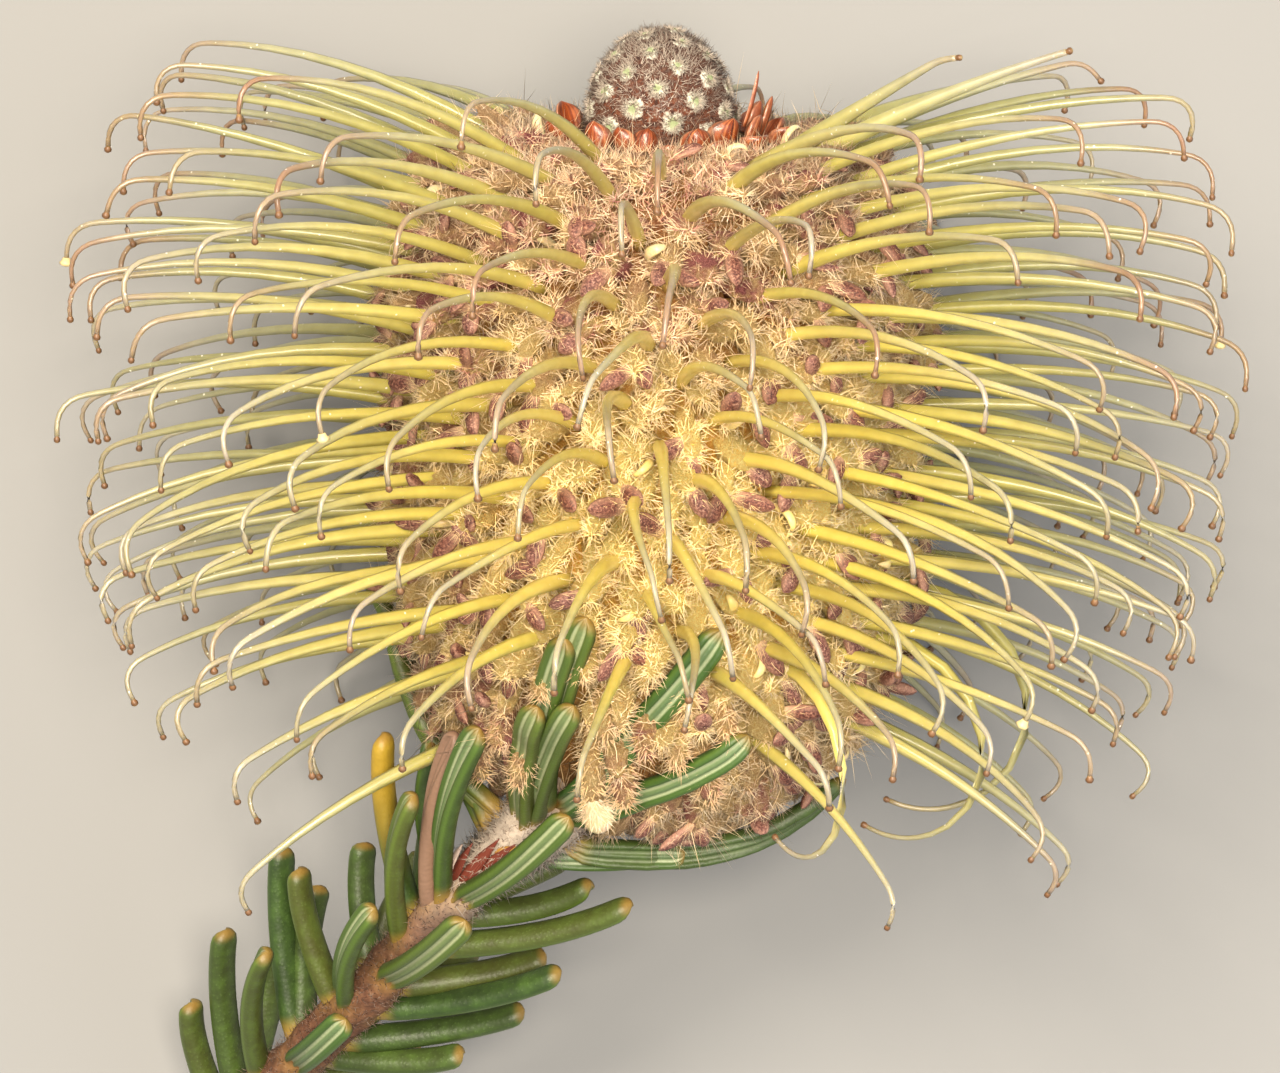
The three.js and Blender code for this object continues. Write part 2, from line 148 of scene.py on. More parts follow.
def underDome(points):
    # the wool lies lower in a ring round the bud dome
    distance, _, along = headPlace(points)
    climb = smooth((distance - domeSeat["inner"]) / domeSeat["slope"])
    ceiling = domeSeat["height"] + domeSeat["rise"] * climb
    lower = np.maximum(0, along - ceiling) * (distance < domeSeat["outer"])
    return points - lower[..., None] * axis


# how the wool's colours run: gold from a middle along the head, stronger on the front as painted light, and
# each share of rose with its place
goldAndLightWash = {"middle": -1, "reach": 11.5, "turn": 0.25, "least": 0.25, "more": 0.85, "power": 1.5}
roseWash = {"all": 0.4, "bud": 0.5, "budFrom": 2, "budReach": 11, "left": 0.25, "lessGold": 0.45,
            "foot": 0.3, "footFrom": 11, "footReach": 5, "brow": 0.3, "browFrom": 13, "browReach": 3,
            "under": 0.25}


def goldAndFrontLightAt(points):
    # warmest round the middle of the head, and on its front; the front is also made lighter as painted light,
    # so the ends and sides fall darker
    _, turn, along = headPlace(points)
    facing = 0.5 + 0.5 * np.sin(turn + goldAndLightWash["turn"])
    ring = np.exp(-((along - goldAndLightWash["middle"]) / goldAndLightWash["reach"]) ** 2)
    return np.clip(ring * (goldAndLightWash["least"] + goldAndLightWash["more"] * facing ** goldAndLightWash["power"]), 0, 1)


def roseAt(points):
    # rosy towards the bud end, the foot, the left and the underside, and less where the wool is golden
    _, turn, along = headPlace(points)
    rosy = roseWash["all"] + roseWash["bud"] * smooth((along - roseWash["budFrom"]) / roseWash["budReach"])
    rosy = rosy + roseWash["left"] * np.cos(turn - np.pi) - roseWash["lessGold"] * goldAndFrontLightAt(points)
    rosy = rosy + roseWash["foot"] * smooth((-along - roseWash["footFrom"]) / roseWash["footReach"])
    rosy = rosy + roseWash["brow"] * smooth((along - roseWash["browFrom"]) / roseWash["browReach"])
    return np.clip(rosy + roseWash["under"] * (1 - np.sin(turn)), 0, 1)


def bodyPlaces(lowest, highest, count, steps=3000):
    # places that give each of a golden-angle spiral the same area of the body
    first, last = np.arccos(lowest / head["halfLength"]), np.arccos(highest / head["halfLength"])
    along = head["halfLength"] * np.cos(np.linspace(first, last, steps))
    radius = bodyRadius(along)
    middle = (radius[1:] + radius[:-1]) / 2
    area = np.concatenate([[0], np.cumsum(middle * np.hypot(np.diff(along), np.diff(radius)))])
    wanted = area[-1] * (np.arange(count) + 0.5) / count
    return np.interp(wanted, area, along), np.arange(count) * goldenAngle


def frames(paths, hint):
    # tangent, side and up along each path, with side x up = tangent
    tangent = unit(np.gradient(paths, axis=-2))
    side = unit(np.cross(hint, tangent))
    return tangent, side, np.cross(tangent, side)


def sweep(paths, width, height, hint, sides, phase=0.0):
    # an ellipse carried along each path: centre + side w cos a + up h sin a
    angle = np.arange(sides) * 2 * np.pi / sides + phase
    tangent, side, up = frames(paths, hint)
    flat = (width[..., None] * np.cos(angle))[..., None] * side[..., None, :]
    tall = (height[..., None] * np.sin(angle))[..., None] * up[..., None, :]
    return paths[..., None, :] + flat + tall


def tubeFaces(count, rings, sides):
    # quads between the rings of every tube, and a many-sided face at each end
    place = np.arange(count * rings * sides).reshape(count, rings, sides)
    after = np.roll(place, -1, axis=2)
    quads = np.stack([place[:, :-1], after[:, :-1], after[:, 1:], place[:, 1:]], axis=-1)
    return [quads.reshape(-1, 4), place[:, 0, ::-1], place[:, -1]]


def roundFaces(rows, around):
    # quads between the rows of a round body, and a fan to a point at its top and to one at its foot
    place = np.arange(rows * around).reshape(rows, around)
    after = np.roll(place, -1, axis=1)
    quads = np.stack([place[:-1], place[1:], after[1:], after[:-1]], axis=-1).reshape(-1, 4)
    top = np.stack([place[0], after[0], np.full(around, place.size)], axis=-1)
    foot = np.stack([after[-1], place[-1], np.full(around, place.size + 1)], axis=-1)
    return [quads, top, foot]


def makePiece(name, points, faces, values, material, replaces=(), shading=None):
    # one mesh object in the row frame, with a value per point for each name in values; shading is the way
    # each point faces the light where that isn't its own slope, as on hairs that are lit as one soft pile
    points = points.reshape(-1, 3)
    corners = np.concatenate([face.ravel() for face in faces]).astype(np.int32)
    sizes = np.concatenate([np.full(len(face), face.shape[1]) for face in faces])
    mesh = bpy.data.meshes.new(name)
    mesh.vertices.add(len(points))
    mesh.vertices.foreach_set("co", (points * mm).astype(np.float32).ravel())
    mesh.loops.add(len(corners))
    mesh.loops.foreach_set("vertex_index", corners)
    mesh.polygons.add(len(sizes))
    mesh.polygons.foreach_set("loop_start", np.concatenate([[0], np.cumsum(sizes)[:-1]]).astype(np.int32))
    mesh.polygons.foreach_set("use_smooth", np.ones(len(sizes), bool))
    mesh.update(calc_edges=True)
    for label, value in values.items():
        layer = mesh.attributes.new(label, "FLOAT", "POINT")
        spreadOut = np.broadcast_to(value, points.shape[:1]) if np.ndim(value) == 0 else value.ravel()
        layer.data.foreach_set("value", spreadOut.astype(np.float32))
    if shading is not None:
        mesh.normals_split_custom_set_from_vertices(shading.reshape(-1, 3).tolist())
    mesh.materials.append(material)
    piece = bpy.data.objects.new(name, mesh)
    bpy.context.scene.collection.objects.link(piece)
    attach(piece, "root")
    if replaces:
        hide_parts(*replaces)
    print(name, "triangles", int((sizes - 2).sum()))
    return piece


def makeHairs(name, roots, directions, lengths, curls, radius, values, material, rings=3, shading=None):
    # three-sided cones along root + L (d s + curl s^2), each closed at its root and pointed at its tip
    share = np.linspace(0, 1, rings)[None, :, None]
    reach = lengths[:, None, None]
    paths = roots[:, None, :] + reach * (directions[:, None, :] * share + curls[:, None, :] * share ** 2)
    hint = unit(np.cross(directions, curls + 1e-4))[:, None, :]
    width = (radius * (1 - 0.35 * share[..., 0])) * np.ones((len(roots), 1))
    points = sweep(paths, width, width, np.broadcast_to(hint, paths.shape), 3)
    shaft = points[:, :-1].reshape(len(roots), -1, 3)
    whole = np.concatenate([shaft, paths[:, -1:]], axis=1)
    whole[..., 2] = np.maximum(whole[..., 2], 0.02)
    per = whole.shape[1]
    start = np.arange(len(roots))[:, None] * per
    side = np.arange(3)
    after = np.roll(side, -1)
    quads = [np.stack([start + 3 * r + side, start + 3 * r + after, start + 3 * r + 3 + after,
                       start + 3 * r + 3 + side], -1).reshape(-1, 4) for r in range(rings - 2)]
    last = 3 * (rings - 2)
    tip = start + per - 1 + 0 * side
    tips = np.stack([start + last + side, start + last + after, tip], -1).reshape(-1, 3)
    closed = start + side[::-1]
    each = {label: np.repeat(value, per) for label, value in values.items()}
    tipShare = np.concatenate([np.repeat(np.linspace(0, 1, rings)[:-1], 3), [1]])
    each["share"] = np.tile(tipShare, len(roots))
    if shading is not None:
        shading = np.repeat(unit(shading), per, axis=0)
    return makePiece(name, whole, [*quads, tips, closed], each, material, shading=shading)


def addNode(tree, kind, settings={}, links={}):
    # settings in lower case are properties, the others and numbers are sockets; stops fill a colour ramp
    made = tree.nodes.new(kind)
    for key, value in settings.items():
        if key == "stops":
            ramp = made.color_ramp
            while len(ramp.elements) < len(value):
                ramp.elements.new(0.5)
            for element, (place, code) in zip(ramp.elements, value):
                element.position = place
                element.color = (*linear(code), 1)
        elif isinstance(key, str) and key[0].islower():
            setattr(made, key, value)
        else:
            made.inputs[key].default_value = (*linear(value), 1) if isinstance(value, str) else value
    for key, source in links.items():
        tree.links.new(source, made.inputs[key])
    return made


def startMaterial(name):
    # a new material with an empty tree
    material = bpy.data.materials.new(name)
    material.use_nodes = True
    material.node_tree.nodes.clear()
    return material, material.node_tree


def finishMaterial(settings, colour, tree, bump=None):
    # its surface, with colour and bump linked
    links = {"Base Color": colour}
    if bump is not None:
        links["Normal"] = bump
    skin = addNode(tree, "ShaderNodeBsdfPrincipled", settings, links)
    addNode(tree, "ShaderNodeOutputMaterial", {}, {"Surface": skin.outputs[0]})


# living style: waxy and half clear, golden in the wool, pale lime outside it, browner at the tip
waxyStyle, tree = startMaterial("waxyStyle")
along, tint, browning = [
    addNode(tree, "ShaderNodeAttribute", {"attribute_name": label})
    for label in ("along", "tint", "browning")
]
place = addNode(tree, "ShaderNodeTexCoord")
base = addNode(tree, "ShaderNodeValToRGB", {"stops": [
    (0.0, "#A09A54"), (0.16, "#A09A5C"), (0.3, "#9C9A6A"), (0.5, "#999876"), (0.75, "#9A9881"),
    (0.9, "#A09A8A"), (1.0, "#968C7A")]},
    {"Fac": along.outputs["Fac"]})
gold = addNode(tree, "ShaderNodeAttribute", {"attribute_name": "gold"})
rootward = addNode(tree, "ShaderNodeMapRange", {"interpolation_type": "SMOOTHSTEP", 1: 0.95, 2: 0.35},
                   {0: along.outputs["Fac"]})
goldPart = addNode(tree, "ShaderNodeMath", {"operation": "MULTIPLY"},
                   {0: gold.outputs["Fac"], 1: rootward.outputs[0]})
golden = addNode(tree, "ShaderNodeMix", {"data_type": "RGBA", 7: "#DECA68"},
                 {0: goldPart.outputs[0], 6: base.outputs["Color"]})
green = addNode(tree, "ShaderNodeMix", {"data_type": "RGBA", "blend_type": "MULTIPLY", 7: "#F0F0D6"},
                {0: tint.outputs["Fac"], 6: golden.outputs[2]})
late = addNode(tree, "ShaderNodeMapRange", {"interpolation_type": "SMOOTHSTEP", 1: 0.66, 2: 0.93},
               {0: along.outputs["Fac"]})
brownShare = addNode(tree, "ShaderNodeMath", {"operation": "MULTIPLY"},
                     {0: late.outputs[0], 1: browning.outputs["Fac"]})
brown = addNode(tree, "ShaderNodeMix", {"data_type": "RGBA", 7: "#86644E"},
                {0: brownShare.outputs[0], 6: green.outputs[2]})
mottle = addNode(tree, "ShaderNodeTexNoise", {"Scale": 1 / (0.9 * mm), "Detail": 3.0},
                 {"Vector": place.outputs["Object"]})
mottled = addNode(tree, "ShaderNodeMix", {"data_type": "RGBA", "blend_type": "SOFT_LIGHT", 0: 0.3},
                  {6: brown.outputs[2], 7: mottle.outputs["Fac"]})
# grains of pollen, drawn coarser than real ones so that they show
grains = addNode(tree, "ShaderNodeTexVoronoi", {"Scale": 1 / (0.55 * mm)},
                 {"Vector": place.outputs["Object"]})
grainShare = addNode(tree, "ShaderNodeMapRange", {1: 0.14, 2: 0.08}, {0: grains.outputs["Distance"]})
drifts = addNode(tree, "ShaderNodeTexNoise", {"Scale": 1 / (5 * mm), "Detail": 2.0},
                 {"Vector": place.outputs["Object"]})
driftShare = addNode(tree, "ShaderNodeMapRange", {1: 0.46, 2: 0.6}, {0: drifts.outputs["Fac"]})
dustShare = addNode(tree, "ShaderNodeMath", {"operation": "MULTIPLY"},
                    {0: grainShare.outputs[0], 1: driftShare.outputs[0]})
dusty = addNode(tree, "ShaderNodeMix", {"data_type": "RGBA", 7: "#E8E4D0"},
                {0: dustShare.outputs[0], 6: mottled.outputs[2]})
fine = addNode(tree, "ShaderNodeTexNoise", {"Scale": 1 / (0.12 * mm), "Detail": 2.0},
               {"Vector": place.outputs["Object"]})
dents = addNode(tree, "ShaderNodeBump", {"Strength": 0.15, "Distance": 0.02 * mm},
                {"Height": fine.outputs["Fac"]})
finishMaterial({
    "Roughness": 0.27, "Subsurface Weight": 0.6, "Subsurface Radius": (1.0, 0.8, 0.3),
    "Subsurface Scale": 0.5 * mm, "Coat Weight": 0.1, "Coat Roughness": 0.3,
}, dusty.outputs[2], tree, dents.outputs[0])

# pollen presenter: a dry brown knob with a paler end
dryKnob, tree = startMaterial("dryKnob")
place = addNode(tree, "ShaderNodeTexCoord")
share = addNode(tree, "ShaderNodeAttribute", {"attribute_name": "share"})
tint = addNode(tree, "ShaderNodeAttribute", {"attribute_name": "tint"})
ends = addNode(tree, "ShaderNodeValToRGB", {"stops": [
    (0.0, "#94794E"), (0.3, "#7C5A3A"), (0.7, "#62432A"), (0.9, "#785838"), (1.0, "#968058")]},
    {"Fac": share.outputs["Fac"]})
pale = addNode(tree, "ShaderNodeMix", {"data_type": "RGBA", 7: "#D9C48C"},
               {0: tint.outputs["Fac"], 6: ends.outputs["Color"]})
grain = addNode(tree, "ShaderNodeTexNoise", {"Scale": 1 / (0.1 * mm), "Detail": 2.0},
                {"Vector": place.outputs["Object"]})
rough = addNode(tree, "ShaderNodeBump", {"Strength": 0.4, "Distance": 0.03 * mm},
                {"Height": grain.outputs["Fac"]})
finishMaterial({"Roughness": 0.45}, pale.outputs[2], tree, rough.outputs[0])

# felted wool: cream, golden where it is thickest, mauve and grey towards the bud end and the edges, painted
# shade in its hollows
feltedWool, tree = startMaterial("feltedWool")
place = addNode(tree, "ShaderNodeTexCoord")
gold, mauve, deep = [
    addNode(tree, "ShaderNodeAttribute", {"attribute_name": label})
    for label in ("gold", "mauve", "deep")
]
# real gold and painted light: the darker cream away from the gold is partly painted shade, the ends and sides
# of the head darker as if less lit
wool = addNode(tree, "ShaderNodeMix", {"data_type": "RGBA", 6: "#CCA674", 7: "#FFE080"},
               {0: gold.outputs["Fac"]})
patches = addNode(tree, "ShaderNodeTexNoise", {"Scale": 1 / (1.6 * mm), "Detail": 3.0, "Roughness": 0.6},
                  {"Vector": place.outputs["Object"]})
patchy = addNode(tree, "ShaderNodeMapRange", {1: 0.38, 2: 0.6}, {0: patches.outputs["Fac"]})
mauveShare = addNode(tree, "ShaderNodeMath", {"operation": "MULTIPLY"},
                     {0: patchy.outputs[0], 1: mauve.outputs["Fac"]})
stained = addNode(tree, "ShaderNodeMix", {"data_type": "RGBA", 7: "#A05A56"},
                  {0: mauveShare.outputs[0], 6: wool.outputs[2]})
# painted shade: a darker, deeper orange stands for the shade and warm bounced light in the hollows between
# the florets and at the roots of the claws
shadeColour = addNode(tree, "ShaderNodeMix", {"data_type": "RGBA", 6: "#B0743E", 7: "#F8AE34"},
               {0: gold.outputs["Fac"]})
shaded = addNode(tree, "ShaderNodeMix", {"data_type": "RGBA"},
                 {0: deep.outputs["Fac"], 6: stained.outputs[2], 7: shadeColour.outputs[2]})
strands = addNode(tree, "ShaderNodeTexNoise",
                  {"Scale": 1 / (0.2 * mm), "Detail": 4.0, "Roughness": 0.75, "Distortion": 2.5},
                  {"Vector": place.outputs["Object"]})
sharp = addNode(tree, "ShaderNodeMapRange", {1: 0.36, 2: 0.64}, {0: strands.outputs["Fac"]})
strandy = addNode(tree, "ShaderNodeMix", {"data_type": "RGBA", "blend_type": "SOFT_LIGHT", 0: 0.75},
                  {6: shaded.outputs[2], 7: sharp.outputs[0]})
tufted = addNode(tree, "ShaderNodeBump", {"Strength": 1.0, "Distance": 0.18 * mm},
                 {"Height": sharp.outputs[0]})
finishMaterial({"Roughness": 0.9}, strandy.outputs[2], tree, tufted.outputs[0])

# single wool hairs: fine, half clear, straw to white
woolHair, tree = startMaterial("woolHair")
place = addNode(tree, "ShaderNodeTexCoord")
gold, mauve, share = [
    addNode(tree, "ShaderNodeAttribute", {"attribute_name": label})
    for label in ("gold", "mauve", "share")
]
# real gold and painted light: the darker cream away from the gold is partly painted shade, the ends and sides
# of the head darker as if less lit
wool = addNode(tree, "ShaderNodeMix", {"data_type": "RGBA", 6: "#D4AE7E", 7: "#FFE080"},
               {0: gold.outputs["Fac"]})
rosy = addNode(tree, "ShaderNodeMix", {"data_type": "RGBA", 7: "#A25854"},
               {0: mauve.outputs["Fac"], 6: wool.outputs[2]})
silver = addNode(tree, "ShaderNodeAttribute", {"attribute_name": "pale"})
paler = addNode(tree, "ShaderNodeMix", {"data_type": "RGBA", 7: "#FFEECC"},
                {0: silver.outputs["Fac"], 6: rosy.outputs[2]})
tipShare = addNode(tree, "ShaderNodeMath", {"operation": "MULTIPLY", 1: 0.65}, {0: share.outputs["Fac"]})
tipped = addNode(tree, "ShaderNodeMix", {"data_type": "RGBA", 7: "#FFE6BA"},
                 {0: tipShare.outputs[0], 6: paler.outputs[2]})
tone = addNode(tree, "ShaderNodeTexNoise", {"Scale": 1 / (0.7 * mm), "Detail": 2.0},
               {"Vector": place.outputs["Object"]})
toned = addNode(tree, "ShaderNodeMix", {"data_type": "RGBA", "blend_type": "SOFT_LIGHT", 0: 0.5},
                {6: tipped.outputs[2], 7: tone.outputs["Fac"]})
finishMaterial({"Roughness": 0.55}, toned.outputs[2], tree)

# limb of a perianth: purple-brown under a pale bloom of short hairs, speckled and striped lengthways
downyLimb, tree = startMaterial("downyLimb")
place = addNode(tree, "ShaderNodeTexCoord")
share, tint, stripe, rim = [
    addNode(tree, "ShaderNodeAttribute", {"attribute_name": label})
    for label in ("share", "tint", "stripe", "rim")
]
specks = addNode(tree, "ShaderNodeTexNoise", {"Scale": 1 / (0.12 * mm), "Detail": 3.0, "Roughness": 0.6},
                 {"Vector": place.outputs["Object"]})
bloom = addNode(tree, "ShaderNodeValToRGB", {"stops": [
    (0.34, "#40221C"), (0.47, "#6A4038"), (0.58, "#8A6052"), (0.72, "#B89A88")]},
    {"Fac": specks.outputs["Fac"]})
browner = addNode(tree, "ShaderNodeMix", {"data_type": "RGBA", "blend_type": "MULTIPLY", 7: "#E4CCB8"},
                  {0: tint.outputs["Fac"], 6: bloom.outputs["Color"]})
rootward = addNode(tree, "ShaderNodeMapRange", {1: 0.0, 2: 0.42, 3: 0.85, 4: 0.0},
                   {0: share.outputs["Fac"]})
rooted = addNode(tree, "ShaderNodeMix", {"data_type": "RGBA", 7: "#E4C296"},
                 {0: rootward.outputs[0], 6: browner.outputs[2]})
rimShare = addNode(tree, "ShaderNodeMath", {"operation": "MULTIPLY", 1: 0.6}, {0: rim.outputs["Fac"]})
rimmed = addNode(tree, "ShaderNodeMix", {"data_type": "RGBA", 7: "#C69C82"},
                 {0: rimShare.outputs[0], 6: rooted.outputs[2]})
lines = addNode(tree, "ShaderNodeTexNoise", {"noise_dimensions": "1D", "Scale": 2.6, "Detail": 3.0},
                {"W": stripe.outputs["Fac"]})
striped = addNode(tree, "ShaderNodeMix", {"data_type": "RGBA", "blend_type": "OVERLAY", 0: 0.4},
                  {6: rimmed.outputs[2], 7: lines.outputs["Fac"]})
ridges = addNode(tree, "ShaderNodeBump", {"Strength": 0.3, "Distance": 0.06 * mm},
                 {"Height": specks.outputs["Fac"]})
finishMaterial({"Roughness": 0.7}, striped.outputs[2], tree, ridges.outputs[0])

# inside of an open perianth segment: smooth, golden, a little see-through
openSegment, tree = startMaterial("openSegment")
place = addNode(tree, "ShaderNodeTexCoord")
gold = addNode(tree, "ShaderNodeAttribute", {"attribute_name": "gold"})
segment = addNode(tree, "ShaderNodeMix", {"data_type": "RGBA", 6: "#D2C096", 7: "#DCC27C"},
                  {0: gold.outputs["Fac"]})
cloud = addNode(tree, "ShaderNodeTexNoise", {"Scale": 1 / (0.6 * mm), "Detail": 3.0},
                {"Vector": place.outputs["Object"]})
clouded = addNode(tree, "ShaderNodeMix", {"data_type": "RGBA", "blend_type": "SOFT_LIGHT", 0: 0.5},
                  {6: segment.outputs[2], 7: cloud.outputs["Color"]})
finishMaterial({
    "Roughness": 0.38, "Subsurface Weight": 0.3, "Subsurface Radius": (1.0, 0.8, 0.3),
    "Subsurface Scale": 0.5 * mm,
}, clouded.outputs[2], tree)

# hairs of the bud dome: grey white and silky, or rust brown
feltHair, tree = startMaterial("feltHair")
place = addNode(tree, "ShaderNodeTexCoord")
rusty = addNode(tree, "ShaderNodeAttribute", {"attribute_name": "mauve"})
share = addNode(tree, "ShaderNodeAttribute", {"attribute_name": "share"})
silky = addNode(tree, "ShaderNodeMix", {"data_type": "RGBA", 6: "#B4A898", 7: "#4E2614"},
                {0: rusty.outputs["Fac"]})
tipShare = addNode(tree, "ShaderNodeMath", {"operation": "MULTIPLY", 1: 0.5}, {0: share.outputs["Fac"]})
bleached = addNode(tree, "ShaderNodeMix", {"data_type": "RGBA", 7: "#9A8878"},
                   {0: tipShare.outputs[0], 6: silky.outputs[2]})
tone = addNode(tree, "ShaderNodeTexNoise", {"Scale": 1 / (0.8 * mm), "Detail": 2.0},
               {"Vector": place.outputs["Object"]})
toned = addNode(tree, "ShaderNodeMix", {"data_type": "RGBA", "blend_type": "SOFT_LIGHT", 0: 0.6},
                {6: bleached.outputs[2], 7: tone.outputs["Fac"]})
finishMaterial({"Roughness": 0.5}, toned.outputs[2], tree)

# felt of the bud dome: rust brown, greenish white on each tuft
rustFelt, tree = startMaterial("rustFelt")
place = addNode(tree, "ShaderNodeTexCoord")
tuft = addNode(tree, "ShaderNodeAttribute", {"attribute_name": "tuft"})
speck = addNode(tree, "ShaderNodeTexNoise", {"Scale": 1 / (0.35 * mm), "Detail": 4.0, "Roughness": 0.7},
                {"Vector": place.outputs["Object"]})
rust = addNode(tree, "ShaderNodeValToRGB", {"stops": [
    (0.34, "#241008"), (0.47, "#4C2412"), (0.57, "#68351B"), (0.68, "#665242")]},
    {"Fac": speck.outputs["Fac"]})
crown = addNode(tree, "ShaderNodeValToRGB", {"stops": [
    (0.0, "#CFC9BE"), (0.75, "#D0CFBC"), (0.9, "#98A07A"), (1.0, "#7C875C")]},
    {"Fac": tuft.outputs["Fac"]})
high = addNode(tree, "ShaderNodeAttribute", {"attribute_name": "high"})
topShare = addNode(tree, "ShaderNodeMapRange", {1: 0.35, 2: 0.95, 4: 0.75}, {0: high.outputs["Fac"]})
greyed = addNode(tree, "ShaderNodeMix", {"data_type": "RGBA", 7: "#40322C"},
                 {0: topShare.outputs[0], 6: rust.outputs["Color"]})
ragged = addNode(tree, "ShaderNodeMath", {"operation": "MULTIPLY_ADD", 1: 1.2},
                 {0: speck.outputs["Fac"], 2: tuft.outputs["Fac"]})
tuftShare = addNode(tree, "ShaderNodeMapRange", {"interpolation_type": "SMOOTHSTEP", 1: 1.05, 2: 1.3},
                    {0: ragged.outputs[0]})
dotted = addNode(tree, "ShaderNodeMix", {"data_type": "RGBA"},
                 {0: tuftShare.outputs[0], 6: greyed.outputs[2], 7: crown.outputs["Color"]})
felt = addNode(tree, "ShaderNodeBump", {"Strength": 0.9, "Distance": 0.15 * mm},
               {"Height": speck.outputs["Fac"]})
finishMaterial({"Roughness": 0.9}, dotted.outputs[2], tree, felt.outputs[0])

# papery bract: thin, glossy, orange red with darker veins
paperyBract, tree = startMaterial("paperyBract")
place = addNode(tree, "ShaderNodeTexCoord")
stripe = addNode(tree, "ShaderNodeAttribute", {"attribute_name": "stripe"})
veins = addNode(tree, "ShaderNodeTexNoise", {"noise_dimensions": "1D", "Scale": 3.0, "Detail": 3.0},
                {"W": stripe.outputs["Fac"]})
paper = addNode(tree, "ShaderNodeValToRGB", {"stops": [
    (0.3, "#421809"), (0.45, "#723014"), (0.6, "#8E4620"), (0.75, "#AC7044")]},
    {"Fac": veins.outputs["Fac"]})
rim = addNode(tree, "ShaderNodeAttribute", {"attribute_name": "rim"})
crumple = addNode(tree, "ShaderNodeTexNoise", {"Scale": 1 / (0.5 * mm), "Detail": 3.0},
                  {"Vector": place.outputs["Object"]})
rimShare = addNode(tree, "ShaderNodeMath", {"operation": "MULTIPLY"},
                   {0: rim.outputs["Fac"], 1: crumple.outputs["Fac"]})
rimmed = addNode(tree, "ShaderNodeMix", {"data_type": "RGBA", 7: "#C09070"},
                 {0: rimShare.outputs[0], 6: paper.outputs["Color"]})
cloudy = addNode(tree, "ShaderNodeMix", {"data_type": "RGBA", "blend_type": "SOFT_LIGHT", 0: 0.9},
                 {6: rimmed.outputs[2], 7: crumple.outputs["Fac"]})
ribs = addNode(tree, "ShaderNodeBump", {"Strength": 0.7, "Distance": 0.08 * mm},
               {"Height": crumple.outputs["Fac"]})
finishMaterial({"Roughness": 0.34, "Coat Weight": 0.15}, cloudy.outputs[2], tree, ribs.outputs[0])

# dry scale under the head: thin and papery, red brown, amber or bleached
dryScale, tree = startMaterial("dryScale")
stripe = addNode(tree, "ShaderNodeAttribute", {"attribute_name": "stripe"})
tone = addNode(tree, "ShaderNodeAttribute", {"attribute_name": "tone"})
veins = addNode(tree, "ShaderNodeTexNoise", {"noise_dimensions": "1D", "Scale": 3.4, "Detail": 4.0},
                {"W": stripe.outputs["Fac"]})
tones = addNode(tree, "ShaderNodeValToRGB", {"stops": [
    (0.0, "#703426"), (0.3, "#804628"), (0.5, "#A87A34"), (1.0, "#C2ADA0")]},
    {"Fac": tone.outputs["Fac"]})
veined = addNode(tree, "ShaderNodeMix", {"data_type": "RGBA", "blend_type": "OVERLAY", 0: 0.6},
                 {6: tones.outputs["Color"], 7: veins.outputs["Fac"]})
ribs = addNode(tree, "ShaderNodeBump", {"Strength": 0.6, "Distance": 0.05 * mm},
               {"Height": veins.outputs["Fac"]})
finishMaterial({"Roughness": 0.5}, veined.outputs[2], tree, ribs.outputs[0])

# leathery leaf: green and finely dotted above, two pale grooves beside the midrib below, amber stalk
leatheryLeaf, tree = startMaterial("leatheryLeaf")
place = addNode(tree, "ShaderNodeTexCoord")
share, across, below, yellowing, dead = [
    addNode(tree, "ShaderNodeAttribute", {"attribute_name": label})
    for label in ("share", "across", "below", "yellowing", "dead")
]
cells = addNode(tree, "ShaderNodeTexNoise", {"Scale": 1 / (0.9 * mm), "Detail": 4.0},
                {"Vector": place.outputs["Object"]})
greens = addNode(tree, "ShaderNodeValToRGB", {"stops": [
    (0.3, "#223818"), (0.5, "#2D461C"), (0.7, "#3A5622")]},
    {"Fac": cells.outputs["Fac"]})
dots = addNode(tree, "ShaderNodeTexVoronoi", {"Scale": 1 / (0.22 * mm)},
               {"Vector": place.outputs["Object"]})
dotShare = addNode(tree, "ShaderNodeMapRange", {1: 0.28, 2: 0.12, 3: 0.0, 4: 0.3},
                   {0: dots.outputs["Distance"]})
dotted = addNode(tree, "ShaderNodeMix", {"data_type": "RGBA", 7: "#5C7840"},
                 {0: dotShare.outputs[0], 6: greens.outputs["Color"]})
middle = addNode(tree, "ShaderNodeMath", {"operation": "ABSOLUTE"}, {0: across.outputs["Fac"]})
grooves = addNode(tree, "ShaderNodeValToRGB", {"stops": [
    (0.0, "#566E46"), (0.14, "#62784E"), (0.24, "#929E78"), (0.36, "#98A47E"), (0.46, "#3E5C28"),
    (0.7, "#385620"), (0.9, "#466424"), (1.0, "#28421A")]},
    {"Fac": middle.outputs[0]})
sides = addNode(tree, "ShaderNodeMix", {"data_type": "RGBA"},
                {0: below.outputs["Fac"], 6: dotted.outputs[2], 7: grooves.outputs["Color"]})
yellowed = addNode(tree, "ShaderNodeMix", {"data_type": "RGBA", 7: "#A88A28"},
                   {0: yellowing.outputs["Fac"], 6: sides.outputs[2]})
tipShare = addNode(tree, "ShaderNodeMapRange", {"interpolation_type": "SMOOTHSTEP", 1: 0.95, 2: 1.0, 4: 0.75},
                   {0: share.outputs["Fac"]})
tipped = addNode(tree, "ShaderNodeMix", {"data_type": "RGBA", 7: "#8C6A30"},
                 {0: tipShare.outputs[0], 6: yellowed.outputs[2]})
stalkShare = addNode(tree, "ShaderNodeMapRange", {"interpolation_type": "SMOOTHSTEP", 1: 0.22, 2: 0.1},
                     {0: share.outputs["Fac"]})
